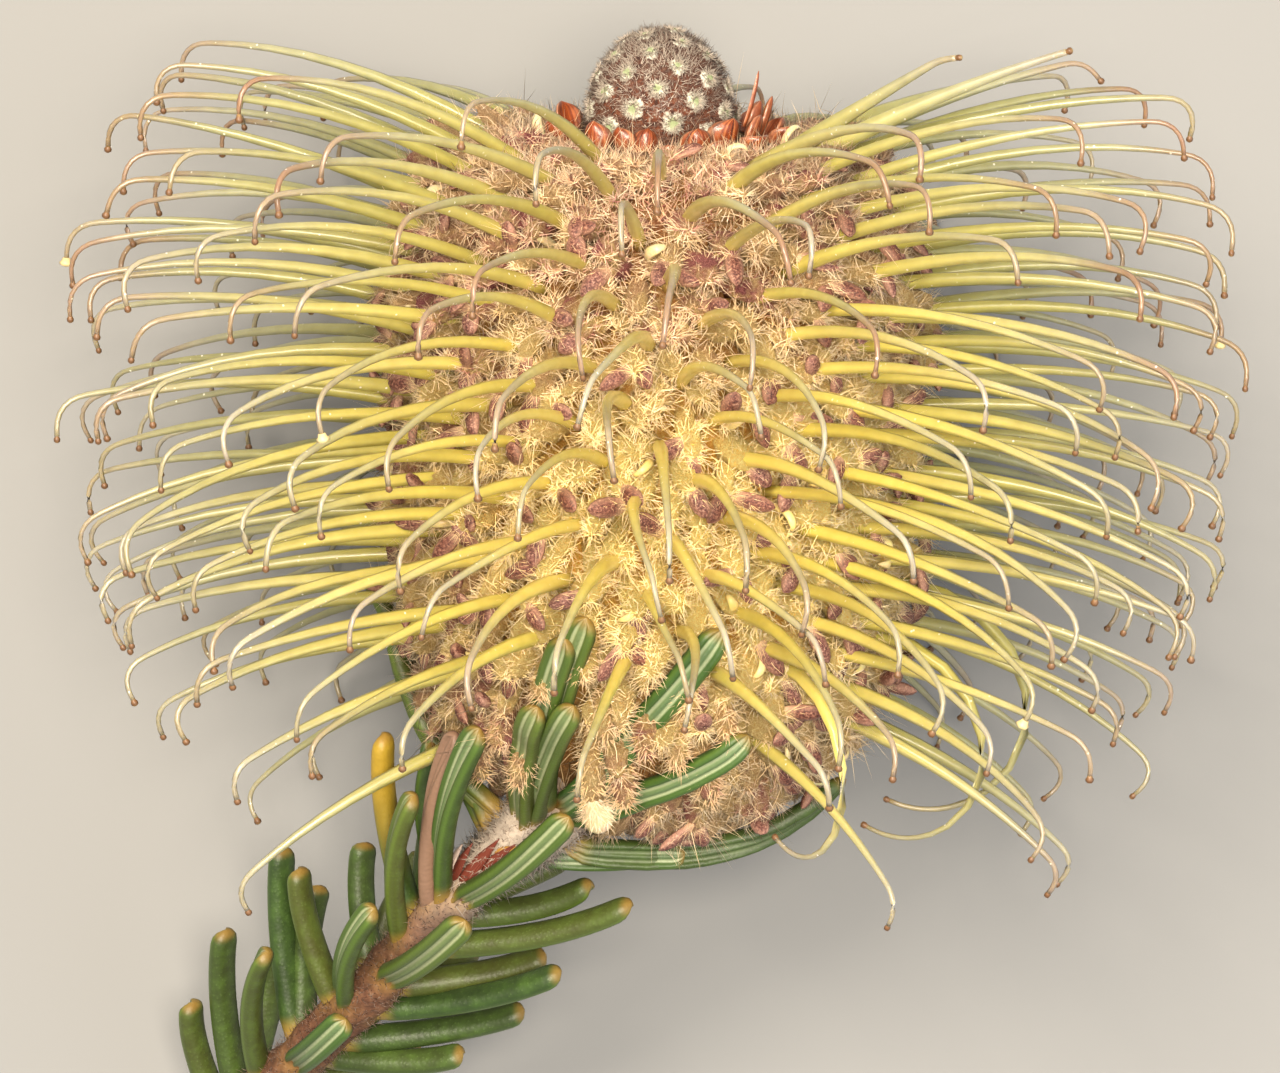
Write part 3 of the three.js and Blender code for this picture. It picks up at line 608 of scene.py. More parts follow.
stalked = addNode(tree, "ShaderNodeMix", {"data_type": "RGBA", 7: "#A0803A"},
                  {0: stalkShare.outputs[0], 6: tipped.outputs[2]})
dying = addNode(tree, "ShaderNodeMix", {"data_type": "RGBA", 7: "#8A6C58"},
                {0: dead.outputs["Fac"], 6: stalked.outputs[2]})
pores = addNode(tree, "ShaderNodeBump", {"Strength": 0.35, "Distance": 0.05 * mm, "invert": True},
                {"Height": dots.outputs["Distance"]})
finishMaterial({"Roughness": 0.5, "Coat Weight": 0.05, "Coat Roughness": 0.4},
               dying.outputs[2], tree, pores.outputs[0])

# young bark: brown and downy, whitish and woolly under the head
downyBark, tree = startMaterial("downyBark")
place = addNode(tree, "ShaderNodeTexCoord")
woolly = addNode(tree, "ShaderNodeAttribute", {"attribute_name": "woolly"})
scar = addNode(tree, "ShaderNodeAttribute", {"attribute_name": "scar"})
flecks = addNode(tree, "ShaderNodeTexNoise", {"Scale": 1 / (0.5 * mm), "Detail": 5.0, "Roughness": 0.65},
                 {"Vector": place.outputs["Object"]})
bark = addNode(tree, "ShaderNodeValToRGB", {"stops": [
    (0.3, "#3E261A"), (0.5, "#603C28"), (0.65, "#745038"), (0.75, "#96806C")]},
    {"Fac": flecks.outputs["Fac"]})
amber = addNode(tree, "ShaderNodeMix", {"data_type": "RGBA", 7: "#8C6A32"},
                {0: scar.outputs["Fac"], 6: bark.outputs["Color"]})
down = addNode(tree, "ShaderNodeMix", {"data_type": "RGBA", 7: "#C4B8A8"},
               {0: woolly.outputs["Fac"], 6: amber.outputs[2]})
rough = addNode(tree, "ShaderNodeBump", {"Strength": 0.8, "Distance": 0.12 * mm},
                {"Height": flecks.outputs["Fac"]})
finishMaterial({"Roughness": 0.75}, down.outputs[2], tree, rough.outputs[0])
print("materials made")

# stem and leaves: where they run

stem = {
    "radius": 1.35,
    "collarRadius": 1.9,
    "collarStation": 5.5,
    "collarReach": 3.2,
    "route": np.array([
        [-2.8, -13.6, -0.6], [-4.9, -17.9, 0.2], [-8.6, -21.0, -1.0], [-12.2, -24.8, -3.6],
        [-15.8, -28.8, -7.2], [-19.6, -32.6, -11.4], [-22.6, -35.6, -15.4], [-25.6, -38.8, -20.0],
    ]),
}


def stemLine(count):
    # centripetal curve through the route, resampled to equal steps
    route = stem["route"] + head["centre"]
    whole = np.vstack([2 * route[0] - route[1], route, 2 * route[-1] - route[-2]])
    step = np.linalg.norm(np.diff(whole, axis=0), axis=1) ** 0.5
    share = np.linspace(0, 1, 60, endpoint=False)[:, None]
    runs = []
    for i in range(len(route) - 1):
        a, b, c, d = whole[i:i + 4]
        before, here, after = step[i:i + 3]
        leave = ((b - a) / before - (c - a) / (before + here) + (c - b) / here) * here
        arrive = ((c - b) / here - (d - b) / (here + after) + (d - c) / after) * here
        cubic = 2 * b - 2 * c + leave + arrive
        square = -3 * b + 3 * c - 2 * leave - arrive
        runs.append(b + leave * share + square * share ** 2 + cubic * share ** 3)
    return resampled(np.vstack([*runs, route[-1:]]), count)


def resampled(line, count):
    # the same line with its points at equal steps
    length = np.concatenate([[0], np.cumsum(np.linalg.norm(np.diff(line, axis=0), axis=1))])
    wanted = np.linspace(0, length[-1], count)
    return np.stack([np.interp(wanted, length, line[:, k]) for k in range(3)], axis=1)


stemFine = stemLine(600)
stemLength = np.linalg.norm(np.diff(stemFine, axis=0), axis=1).sum()


def stemFrame(station):
    # place at a distance down the stem from the head, with the ways towards the head, left and up there
    share = np.clip(station / stemLength, 0, 1) * (len(stemFine) - 1)
    place = np.array([np.interp(share, np.arange(len(stemFine)), stemFine[:, k]) for k in range(3)])
    low = int(min(share, len(stemFine) - 3))
    forward = unit(stemFine[low] - stemFine[low + 2])
    left = unit(np.cross([0, 0, 1], forward))
    return place, forward, left, unit(np.cross(forward, left))


def stemWidth(station):
    # radius + (collar - radius) exp(-((station - collar station) / reach)^2)
    cushion = np.exp(-((station - stem["collarStation"]) / stem["collarReach"]) ** 2)
    return mix(stem["radius"], stem["collarRadius"], cushion)


# sunk are the rows of the list below that come up between the florets
leaves = {
    "width": 1.65,
    "thickness": 1.2,
    "bow": 1,
    "petiole": 0.14,
    "petioleWidth": 0.62,
    "headClearance": 0.6,
    "sunkClearance": -0.9,
    "sunk": [0, 1, 2, 3, 5, 6],
    "turning": 0.6,
    "rings": 22,
    # rows of the list below that show no stripes, are withered and are yellowing
    "plain": 4,
    "dead": 13,
    "yellow": 14,
    # place along the stem, and tip measured from the middle of the head
    "shown": np.array([
        [5.8, 3.5, -8.4, 13.0], [6.0, -3.5, -7.8, 13.5], [6.4, 4.8, -13.8, 9.5], [6.5, -4.6, -8.9, 12.8],
        [6.8, 10.4, -16.7, -1.5], [7.1, -4.2, -12.4, 11.0], [7.6, -6.0, -12.4, 10.0],
        [8.2, -15.6, -5.7, -2.5], [9.4, -13.6, -9.3, -4.5], [13.8, -4.5, -18.4, 6.5],
        [14.1, -12.0, -14.7, -0.5], [14.5, -9.2, -13.7, 7.5], [14.8, -3.4, -22.4, -1.5],
        [15.5, -10.3, -14.0, 4.5], [16.8, -14.5, -14.2, 0.5], [17.7, -1.2, -23.4, 0.0],
        [18.3, -12.8, -17.4, 3.5], [20.8, -10.1, -24.1, 3.5], [21.5, -15.9, -20.5, -6.5],
        [23.9, -5.1, -27.4, -4.0], [24.3, -15.1, -23.7, 0.0], [24.9, -19.5, -21.9, -6.0],
        [27.5, -7.2, -29.9, -8.5], [28.8, -10.6, -32.3, -8.5], [29.4, -20.6, -20.9, -9.0],
        [30.0, -16.9, -30.1, -4.5], [33.6, -21.3, -26.5, -6.0], [36.6, -24.0, -25.7, -11.5],
        [38.6, -26.1, -30.0, -14.0],
    ]),
    "hidden": {"count": 12, "first": 9, "spacing": 2.5, "fan": 130, "spread": 44, "uneven": 6, "length": 9.6},
}


def clearOfHead(points, room, step=0.1, farthest=12):
    # points in the wool move out of it along the slope of the body's surface
    points = points.copy()
    for _ in range(int(farthest / step)):
        distance, turn, along = headPlace(points)
        level = bodyLevel(distance, along, room)
        inside = level < 0
        if not inside.any():
            break
        out = bodyLevel(distance + step, along, room) - level
        end = bodyLevel(distance, along + step, room) - level
        slope = unit(out[:, None] * outward(turn) + end[:, None] * axis)
        points[inside] += slope[inside] * step
    return points


def leafLine(station, tip, sunk=False):
    # an arch from the stem's middle to the tip, its back turned away from the stem
    place, forward, _, _ = stemFrame(station)
    span = tip - place
    away = unit(span - forward * (span @ forward))
    middle = mix(place, tip, 0.5) + away * 2 * leaves["bow"]
    t = np.linspace(0, 1, 200)[:, None]
    arch = resampled((1 - t) ** 2 * place + 2 * t * (1 - t) * middle + t * t * tip, 25)
    low = leaves["sunkClearance"] if sunk else leaves["headClearance"]
    room = np.interp(np.arange(3, 25) / 24, [0, 0.55, 0.9], [low, low, leaves["headClearance"]])
    arch[3:] = clearOfHead(arch[3:], room)
    arch[:, 2] = eased(arch[:, 2], leaves["thickness"] / 2 - 0.1)
    return resampled(arch, leaves["rings"]), away


def hiddenTip(index):
    # tips of the leaves underneath fan out by the golden section
    rule = leaves["hidden"]
    place, forward, left, up = stemFrame(rule["first"] + index * rule["spacing"])
    turn = np.radians(rule["fan"] * ((index * goldenSection) % 1 - 0.5) - 90)
    angle = np.radians(rule["spread"] + rule["uneven"] * spread(index, 3))
    away = wayRound(turn, left, up)
    return place + (forward * np.cos(angle) + away * np.sin(angle)) * rule["length"]


leafLines = [
    leafLine(row[0], row[1:] + head["centre"], i in leaves["sunk"]) for i, row in enumerate(leaves["shown"])
]
leafLines += [
    leafLine(leaves["hidden"]["first"] + i * leaves["hidden"]["spacing"], hiddenTip(i))
    for i in range(leaves["hidden"]["count"])
]
leafPaths = np.array([line for line, _ in leafLines])
leafBacks = np.array([away for _, away in leafLines])
obstaclePlaces = np.vstack([stemFine[60::10], leafPaths[:, 2:].reshape(-1, 3)])
obstacleRadii = np.concatenate([
    np.full(len(stemFine[60::10]), stem["radius"]), np.full(leafPaths[:, 2:].size // 3, leaves["width"] / 2)])


def clearance(points):
    # distance from each point to the nearest leaf or stem surface
    flat = points.reshape(-1, 3)
    nearest = np.empty(len(flat))
    for start in range(0, len(flat), 4000):
        part = flat[start:start + 4000]
        gaps = np.linalg.norm(part[:, None] - obstaclePlaces[None], axis=-1) - obstacleRadii
        nearest[start:start + 4000] = gaps.min(axis=1)
    return nearest.reshape(points.shape[:-1])


# styles

styles = {
    "count": 350,
    "lowest": -14.6,
    "highest": 17.3,
    "bareUnder": 3.5,
    "rootDepth": 2.8,
    "length": 18.7,
    "lowLength": 12.6,
    "thinFrom": -7,  # from here towards the stem fewer and fewer flowers still have their style
    "thinReach": 3,
    "thinShare": 0.65,
    "pressed": 0.25,
    "middleLift": 2,
    "frontLift": 12,
    "budLift": 30,
    "stemLift": -58,
    "sideLift": 3,
    "bend": 32,
    "lowBend": 30,
    "archPower": 1.35,
    "hook": 86,
    "hookStart": 0.855,
    "swings": [0, 6, -6, 12, -12, 18, -18, 26, -26],
    "steps": 160,
    "held": 24,
    "room": 0.55,  # from the middle of a style to a leaf's side
    "rings": np.array([0, 0.1, 0.2, 0.3, 0.4, 0.5, 0.6, 0.69, 0.77, 0.82, 0.86, 0.885, 0.905, 0.925, 0.945,
                       0.965, 0.982, 1]),
    "radii": [(0, 0.38), (0.12, 0.42), (0.25, 0.39), (0.5, 0.285), (0.75, 0.205), (0.9, 0.155), (1, 0.14)],
    "flatness": 0.96,
    "sides": 6,
    "budPower": 1.2,
    "stemPower": 2.5,
    "uneven": {"length": 0.06, "lift": 5, "bend": 7, "hook": 14, "sway": 5, "radius": 0.1},
    "firstStray": 1000,
    "stout": [1.5, 1.45],  # the first strays are this much thicker
    # browner from a place towards the bud end on, and golden round a middle of the head
    "brown": 0.5, "brownUneven": 0.4, "brownFrom": 2, "brownReach": 12,
    "goldPower": 2.4, "goldMiddle": -1, "goldReach": 17,
}
# turn, along, length, lift, bend, hook: broad stiff ones by the dome, then loops still held in the wool
strays = np.array([
    [14, 17.2, 12.6, 29, 10, 0], [38, 17.4, 10.5, 33, 4, 20], [-12, 16.9, 14.5, 24, 14, 60],
    [6, -5.6, 21, 2, 205, 0], [24, -7.6, 18.5, 4, 208, 0], [58, -8.2, 17, 8, 215, 0],
    [80, -8.8, 15.5, 4, 215, 0],
])


def styleHabits():
    # how each flower's style grows: higher towards the bud end, lower and shorter towards the stem
    along, turn = bodyPlaces(styles["lowest"], styles["highest"], styles["count"])
    flower = np.arange(styles["count"])
    low = np.maximum(0, -along / head["halfLength"])
    high = np.maximum(0, along / head["halfLength"])
    uneven = styles["uneven"]
    lift = styles["middleLift"] + (styles["budLift"] - styles["middleLift"]) * high ** styles["budPower"]
    sinking = (styles["stemLift"] - styles["middleLift"]) * low ** styles["stemPower"]
    lift += sinking - styles["sideLift"] * np.cos(turn)
    facing = np.sin(turn)
    lift += styles["frontLift"] * facing * np.abs(facing) * np.where(facing > 0, 1 - high, 1)
    habits = np.stack([
        turn, along,
        mix(styles["length"], styles["lowLength"], low) * (1 + uneven["length"] * spread(flower, 21)),
        lift + uneven["lift"] * spread(flower, 22),
        mix(styles["bend"], styles["lowBend"], low) + uneven["bend"] * spread(flower, 23),
        styles["hook"] + uneven["hook"] * spread(flower, 24),
        uneven["sway"] * spread(flower, 25),
        flower,
    ], axis=1)
    kept = along > styles["lowest"] + styles["bareUnder"] * np.maximum(0, -np.sin(turn))
    thinned = styles["thinShare"] * smooth((styles["thinFrom"] - along) / styles["thinReach"])
    kept &= draw(flower, 26) >= thinned
    strayFlower = styles["firstStray"] + np.arange(len(strays))[:, None]
    extra = np.hstack([strays, np.zeros((len(strays), 1)), strayFlower])
    extra[:, 0] = np.radians(extra[:, 0])
    return np.vstack([habits[kept], extra])


def styleLine(habit, swing):
    # its angle to the outward direction falls slowly along it, then turns through the hook
    turn, along, length, lift, bend, hook, sway, _ = habit
    step = (length + styles["rootDepth"]) / styles["steps"]
    t = (np.arange(styles["steps"]) + 0.5) / styles["steps"]
    hooked = smooth((t - styles["hookStart"]) / (1 - styles["hookStart"]))
    angle = np.radians(lift - bend * t ** styles["archPower"] - hook * hooked)
    outs = np.concatenate([[0], np.cumsum(np.cos(angle) * step)])
    distance = bodyRadius(along) - styles["rootDepth"] + outs
    place = along + np.concatenate([[0], np.cumsum(np.sin(angle) * step)])
    turns = turn + np.radians(swing + sway) * np.concatenate([[0], t * t])
    line = onHead(distance, turns, place)
    line[:, 2] = eased(line[:, 2], styles["pressed"])
    return line


def clearStyle(habit):
    # the first swing that keeps the style off the leaves
    for swing in styles["swings"]:
        line = styleLine(habit, swing)
        if (clearance(line[styles["held"]:]) > styles["room"]).all():
            return line
    return None


habits = styleHabits()
grown = [(habit, clearStyle(habit)) for habit in habits]
grown = [(habit, line) for habit, line in grown if line is not None]
habits = np.array([habit for habit, _ in grown])
lines = np.array([line for _, line in grown])
flower = habits[:, 7]
ringPlaces = styles["rings"] * styles["steps"]
low = np.floor(ringPlaces).astype(int)
high = np.minimum(low + 1, styles["steps"])
paths = mix(lines[:, low], lines[:, high], (ringPlaces - low)[None, :, None])
shareStops, radiusStops = np.array(styles["radii"]).T
radius = np.interp(styles["rings"], shareStops, radiusStops)[None]
radius = radius * (1 + styles["uneven"]["radius"] * spread(flower, 31))[:, None]
for i, stout in enumerate(styles["stout"]):
    radius[flower == styles["firstStray"] + i] *= stout
hint = np.broadcast_to(axis, paths.shape)
tubes = sweep(paths, radius, radius * styles["flatness"], hint, styles["sides"])
tubes[..., 2] = np.maximum(tubes[..., 2], 0.01)
upper = smooth((habits[:, 1] - styles["brownFrom"]) / styles["brownReach"])
stoutOnes = np.isin(flower, styles["firstStray"] + np.arange(len(styles["stout"])))
browning = np.clip(styles["brown"] * upper + styles["brownUneven"] * spread(flower, 33), 0, 1) * ~stoutOnes
golden = (0.5 + 0.5 * np.sin(habits[:, 0])) ** styles["goldPower"]
golden = golden * np.exp(-((habits[:, 1] - styles["goldMiddle"]) / styles["goldReach"]) ** 2)
styleOnes = np.ones(tubes.shape[:3])
makePiece("styles", tubes, tubeFaces(len(paths), len(styles["rings"]), styles["sides"]), {
    "along": styles["rings"][None, :, None] * styleOnes,
    "tint": draw(flower, 32)[:, None, None] * styleOnes,
    "browning": browning[:, None, None] * styleOnes,
    "gold": golden[:, None, None] * styleOnes,
}, waxyStyle)

knobs = {"length": 0.48, "radius": 0.195, "uneven": 0.15, "dusted": 0.8, "clean": 0.985, "sunk": 0.12,
         "sides": 6,
         "profile": [(0, 0.55), (0.32, 0.68), (0.55, 1.0), (0.85, 0.9), (1, 0.35)]}
knobShares, knobRadii = np.array(knobs["profile"]).T
heading = unit(lines[:, -1] - lines[:, -6])
start = lines[:, -1] - heading * knobs["sunk"]
knobPaths = start[:, None] + heading[:, None] * (knobShares * knobs["length"])[None, :, None]
dusted = draw(flower, 42) > knobs["clean"]  # a few still carry their pollen
knobSize = 1 + knobs["uneven"] * spread(flower, 41) + knobs["dusted"] * dusted
knobRadius = knobs["radius"] * knobRadii[None] * knobSize[:, None]
knobHint = unit(np.cross(heading, right) + 1e-3)[:, None]
knobHint = np.broadcast_to(knobHint, knobPaths.shape)
knobTubes = sweep(knobPaths, knobRadius, knobRadius, knobHint, knobs["sides"])
knobTubes[..., 2] = np.maximum(knobTubes[..., 2], 0.01)
knobOnes = np.ones((len(lines), len(knobShares), knobs["sides"]))
makePiece("style_knobs", knobTubes, tubeFaces(len(lines), len(knobShares), knobs["sides"]), {
    "share": knobShares[None, :, None] * knobOnes,
    "tint": (0.9 * dusted)[:, None, None] * knobOnes,
}, dryKnob)
print("styles made")

# woolly body

# settled is how far the wool lies inside the roots of the hidden solid's florets, and budSettled how much of
# that is missing towards the bud; young and foot are spirals of florets without a style at the two ends
wool = {"around": 160, "rows": 76, "clump": 1.3, "valley": 0.6, "sunk": 0.6, "settled": 1.3,
        "budSettled": 0.7, "young": (17.4, 19.98, 44), "foot": (-19.6, -14.8, 46)}


def settledBy(normal):
    # the wool has settled less where it faces the bud end
    return normal * (wool["settled"] * (1 - wool["budSettled"] * np.maximum(0, normal @ axis)))[..., None]


youngAlong, youngTurn = bodyPlaces(*wool["young"])
stemAlong, stemTurn = bodyPlaces(*wool["foot"])
fullAlong, fullTurn = bodyPlaces(styles["lowest"], styles["highest"], styles["count"])
spotAlong = np.concatenate([fullAlong, youngAlong, stemAlong])
spotTurn = np.concatenate([fullTurn, youngTurn, stemTurn])
spotFlower = np.concatenate([
    np.arange(styles["count"]), 2000 + np.arange(len(youngAlong)), 3000 + np.arange(len(stemAlong))])
spotRadius = bodyRadius(spotAlong)
spotNormal = bodyNormal(spotRadius, spotTurn, spotAlong)
spots = underDome(onHead(spotRadius, spotTurn, spotAlong)) - settledBy(spotNormal)


def clumpHeight(points):
    # low between the florets, high on each of them
    height = np.empty(len(points))
    for start in range(0, len(points), 4000):
        part = points[start:start + 4000]
        nearest = np.linalg.norm(part[:, None] - spots[None], axis=-1).min(axis=1)
        height[start:start + 4000] = np.exp(-(nearest / wool["clump"]) ** 2)
    return height


slope = np.linspace(0, np.pi, wool["rows"])
slope = slope - 0.32 * np.sin(2 * slope)
bodyAlong = head["halfLength"] * np.cos(slope)
bodyTurn = np.arange(wool["around"]) * 2 * np.pi / wool["around"]
gridAlong, gridTurn = np.meshgrid(bodyAlong[1:-1], bodyTurn, indexing="ij")
gridRadius = bodyRadius(gridAlong)
normal = bodyNormal(gridRadius, gridTurn, gridAlong)
surface = onHead(gridRadius, gridTurn, gridAlong) - settledBy(normal)
clump = clumpHeight(surface.reshape(-1, 3)).reshape(gridAlong.shape)
ripple = 0.12 * np.sin(gridTurn * 41 + gridAlong * 3.1) * np.sin(gridAlong * 5.3 - gridTurn * 17)
surface = underDome(surface) + normal * (ripple - wool["sunk"] - wool["valley"] * (1 - clump))[..., None]
poles = head["centre"] + np.array([[16.5], [bodyAlong[-1] + 2]]) * axis
bodyPoints = np.vstack([surface.reshape(-1, 3), poles])
makePiece("wool_body", bodyPoints, roundFaces(*gridAlong.shape), {
    "gold": goldAndFrontLightAt(bodyPoints),
    "mauve": roseAt(bodyPoints),
    # painted shade, strongest in the hollows between the florets
    "deep": np.concatenate([(1 - 0.5 * clump).ravel(), [1, 1]]),
}, feltedWool, ["flower_head"])

# perianths: woolly claws, striped limbs and open segments

claws = {"each": 3, "ring": 0.75, "depth": 2.2, "length": 3.3, "stemLength": 2.9, "budLength": 2.9,
         "unevenLength": 0.17, "late": 0.7, "radius": 0.72, "unevenRadius": 0.22, "lean": 0.8, "droop": 1.1,
         "stemDroop": 0.9, "budLean": 1.2, "sway": 0.35, "lumps": 0.14, "sides": 6, "room": 0.45,
         "rings": np.array([0, 0.4, 0.66, 0.84, 0.95, 1]),
         "profile": np.array([0.8, 1.0, 1.04, 0.93, 0.62, 0.15])}
keep = clearance(spots + spotNormal * 0.6) > claws["room"]
whole = np.nonzero(keep)[0]
owner = np.repeat(whole, claws["each"])
claw = spotFlower[owner] * 4 + np.tile(np.arange(claws["each"]), len(whole))
normal = spotNormal[owner]
budward = unit(axis - normal * (normal @ axis)[:, None])
sideward = np.cross(normal, budward)
clawTurn = np.tile(np.arange(claws["each"]) * 2 * np.pi / claws["each"], len(whole))
clawTurn = clawTurn + 2 * np.pi * draw(spotFlower[owner], 51) + 0.4 * spread(claw, 52)
lateral = wayRound(clawTurn, budward, sideward)
towardStem = smooth((-spotAlong[owner] - 12) / 4)
clawRoot = spots[owner] + lateral * (claws["ring"] * (1 + 0.2 * spread(claw, 53)))[:, None]
clawRoot = clawRoot - normal * claws["depth"]
towardBud = smooth((spotAlong[owner] - 15) / 3)
clawLength = mix(mix(claws["length"], claws["stemLength"], towardStem), claws["budLength"], towardBud)
clawLength = clawLength * (1 + claws["unevenLength"] * spread(claw, 54))
clawLength = clawLength + claws["late"] * (draw(claw, 59) > 0.75) * (1 - towardStem)
drift = lateral * (claws["lean"] * (0.5 + draw(claw, 55)))[:, None]
droop = claws["droop"] * (0.4 + 1.4 * draw(claw, 60)) + claws["stemDroop"] * towardStem
drift = drift - budward * droop[:, None]
drift = drift + (outward(spotTurn[owner]) - 0.3 * axis) * (claws["budLean"] * towardBud)[:, None]
drift = drift + claws["sway"] * spread(claw, 56)[:, None] * np.cross(normal, lateral)


def clawLine(share, which=slice(None)):
    # straight out of the wool at first, leaning over with the square of the share
    rise = normal[which] * (share * clawLength[which])[..., None]
    return clawRoot[which] + rise + drift[which] * (share ** 2)[..., None]


clawPaths = np.stack([clawLine(np.full(len(owner), share)) for share in claws["rings"]], axis=1)
stoutness = 1 + claws["unevenRadius"] * spread(claw, 57) - 0.2 * towardBud
clawRadius = claws["radius"] * claws["profile"][None] * stoutness[:, None]
clawHint = np.broadcast_to(budward[:, None], clawPaths.shape)
clawTubes = sweep(clawPaths, clawRadius, clawRadius * 0.9, clawHint, claws["sides"])
clawTubes = clawTubes + claws["lumps"] * chance.normal(size=clawTubes.shape) * clawRadius[..., None, None]
clawTubes[..., 2] = np.maximum(clawTubes[..., 2], 0.05)
clawPoints = clawTubes.reshape(-1, 3)
perClaw = clawTubes[0].size // 3
clawMauve = 2.2 * draw(claw, 58) ** 1.6
makePiece("perianth_claws", clawTubes, tubeFaces(len(owner), len(claws["rings"]), claws["sides"]), {
    "gold": goldAndFrontLightAt(clawPoints),
    "mauve": np.clip(roseAt(clawPoints) * np.repeat(clawMauve, perClaw), 0, 1),
    # painted shade at the root of each claw, down in the wool
    "deep": np.tile(np.repeat(np.clip(1.0 - 1.4 * claws["rings"], 0, 1), claws["sides"]), len(owner)),
}, feltedWool)

limbs = {"share": 0.42, "length": 2.15, "unevenLength": 0.25, "width": 0.51, "unevenWidth": 0.15,
         "thickness": 0.4, "bow": 0.3, "raised": 0.12, "grooved": 0.4, "groove": 0.45, "grooveWidth": 0.4,
         "room": 0.4, "highest": 19.3, "sides": 8,
         "rings": np.array([0, 0.12, 0.3, 0.52, 0.74, 0.91, 1]),
         "profile": np.array([0.35, 0.6, 0.86, 1.0, 0.9, 0.56, 0.1])}
shown = np.nonzero(draw(claw, 61) < limbs["share"] * (1 - 0.5 * towardStem - 0.6 * towardBud))[0]
limb = claw[shown]
limbStart = clawLine(np.full(len(shown), 0.86), shown)
heading = unit(clawLine(np.full(len(shown), 1.0), shown) - clawLine(np.full(len(shown), 0.8), shown))
limbHeading = unit(lateral[shown] * (0.9 + 0.4 * spread(limb, 62))[:, None] + 0.55 * heading
                   - budward[shown] * (0.25 + 0.35 * draw(limb, 63))[:, None]
                   + 0.5 * spread(limb, 64)[:, None] * np.cross(normal[shown], lateral[shown]))
limbLength = limbs["length"] * (1 + limbs["unevenLength"] * spread(limb, 65))
limbShare = limbs["rings"][None, :, None]
limbPaths = limbStart[:, None] + limbHeading[:, None] * limbShare * limbLength[:, None, None]
limbPaths = limbPaths + limbs["bow"] * (limbShare - limbShare ** 2) * normal[shown][:, None]
limbPaths = limbPaths + limbs["raised"] * normal[shown][:, None]
clear = clearance(limbPaths).min(axis=1) > limbs["room"]
clear &= headPlace(limbPaths[:, -1])[2] < limbs["highest"]
limbPaths, limb, shown, limbHeading = limbPaths[clear], limb[clear], shown[clear], limbHeading[clear]
limbWidth = limbs["profile"][None] * (1 + limbs["unevenWidth"] * spread(limb, 66))[:, None]
angle = (np.arange(limbs["sides"]) + 0.5) * 2 * np.pi / limbs["sides"]
grooved = limbs["groove"] * (draw(limb, 67) < limbs["grooved"])
dip = 1 - grooved[:, None, None] * np.exp(-((angle - np.pi / 2) / limbs["grooveWidth"]) ** 2)
tangent, side, up = frames(limbPaths, np.broadcast_to(normal[shown][:, None], limbPaths.shape))
limbFlat = limbs["width"] * limbWidth[..., None] * np.cos(angle) * np.ones_like(dip)
limbTall = limbs["thickness"] * limbWidth[..., None] * np.where(np.sin(angle) > 0, 1.0, 0.7)
limbTall = limbTall * np.sin(angle) * dip
limbTubes = limbPaths[:, :, None] + side[:, :, None] * limbFlat[..., None]
limbTubes = limbTubes + up[:, :, None] * limbTall[..., None]
limbOnes = np.ones(limbTubes.shape[:3])
makePiece("perianth_limbs", limbTubes, tubeFaces(len(limbPaths), len(limbs["rings"]), limbs["sides"]), {
    "share": limbs["rings"][None, :, None] * limbOnes,
    "tint": draw(limb, 68)[:, None, None] * limbOnes,
    "stripe": (np.cos(angle) * 3)[None, None, :] * limbOnes + (limb % 97)[:, None, None] * 7.0,
    "rim": np.abs(np.cos(angle))[None, None, :] ** 8 * limbOnes,
}, downyLimb)

# straight is the share of a segment before its curl, and depth how far its root lies in the wool
segments = {"chosen": 0.26, "width": 0.3, "thickness": 0.08, "reach": 3.0, "straight": 0.4, "curl": 1.0,
            "curlAngle": 145, "tighter": 0.35, "depth": 2.2, "aside": 0.5, "cup": 0.3, "room": 0.35,
            "sides": 8, "rings": 12}
opened = whole[draw(spotFlower[whole], 71) < segments["chosen"]]
openNormal = spotNormal[opened]
openBudward = unit(axis - openNormal * (openNormal @ axis)[:, None])
segmentTurn = 2 * np.pi * draw(spotFlower[opened], 72)
across = wayRound(segmentTurn, openBudward, np.cross(openNormal, openBudward))
t = np.linspace(0, 1, segments["rings"])
rise = np.where(t < segments["straight"], t / segments["straight"] * segments["reach"], segments["reach"])
curled = np.clip((t - segments["straight"]) / (1 - segments["straight"]), 0, 1)
curlAngle = curled * np.radians(segments["curlAngle"])
curlSize = segments["curl"] * (1 - segments["tighter"] * curled)
outPart = rise + curlSize * np.sin(curlAngle) - segments["depth"]
sidePart = curlSize * (1 - np.cos(curlAngle)) + segments["aside"]
segmentPaths = spots[opened][:, None] + openNormal[:, None] * outPart[None, :, None]
segmentPaths = segmentPaths + across[:, None] * sidePart[None, :, None]
clear = clearance(segmentPaths).min(axis=1) > segments["room"]
segmentPaths, opened = segmentPaths[clear], opened[clear]
across, openNormal = across[clear], openNormal[clear]
segmentHint = np.broadcast_to(np.cross(openNormal, across)[:, None], segmentPaths.shape)
taper = np.interp(t, [0, 0.3, 0.7, 0.92, 1], [0.9, 1, 0.8, 0.4, 0.12])[None] * np.ones((len(opened), 1))
taper = taper * (0.7 + 0.6 * draw(spotFlower[opened], 73))[:, None]
segmentWidth = segments["width"] * taper
segmentTubes = sweep(segmentPaths, segments["thickness"] * taper ** 0.3, segmentWidth, segmentHint,
                     segments["sides"])
_, inward, _ = frames(segmentPaths, segmentHint)
cupped = np.sin(np.arange(segments["sides"]) * 2 * np.pi / segments["sides"]) ** 2 * segments["cup"]
segmentTubes = segmentTubes + inward[:, :, None] * (cupped * segmentWidth[..., None])[..., None]
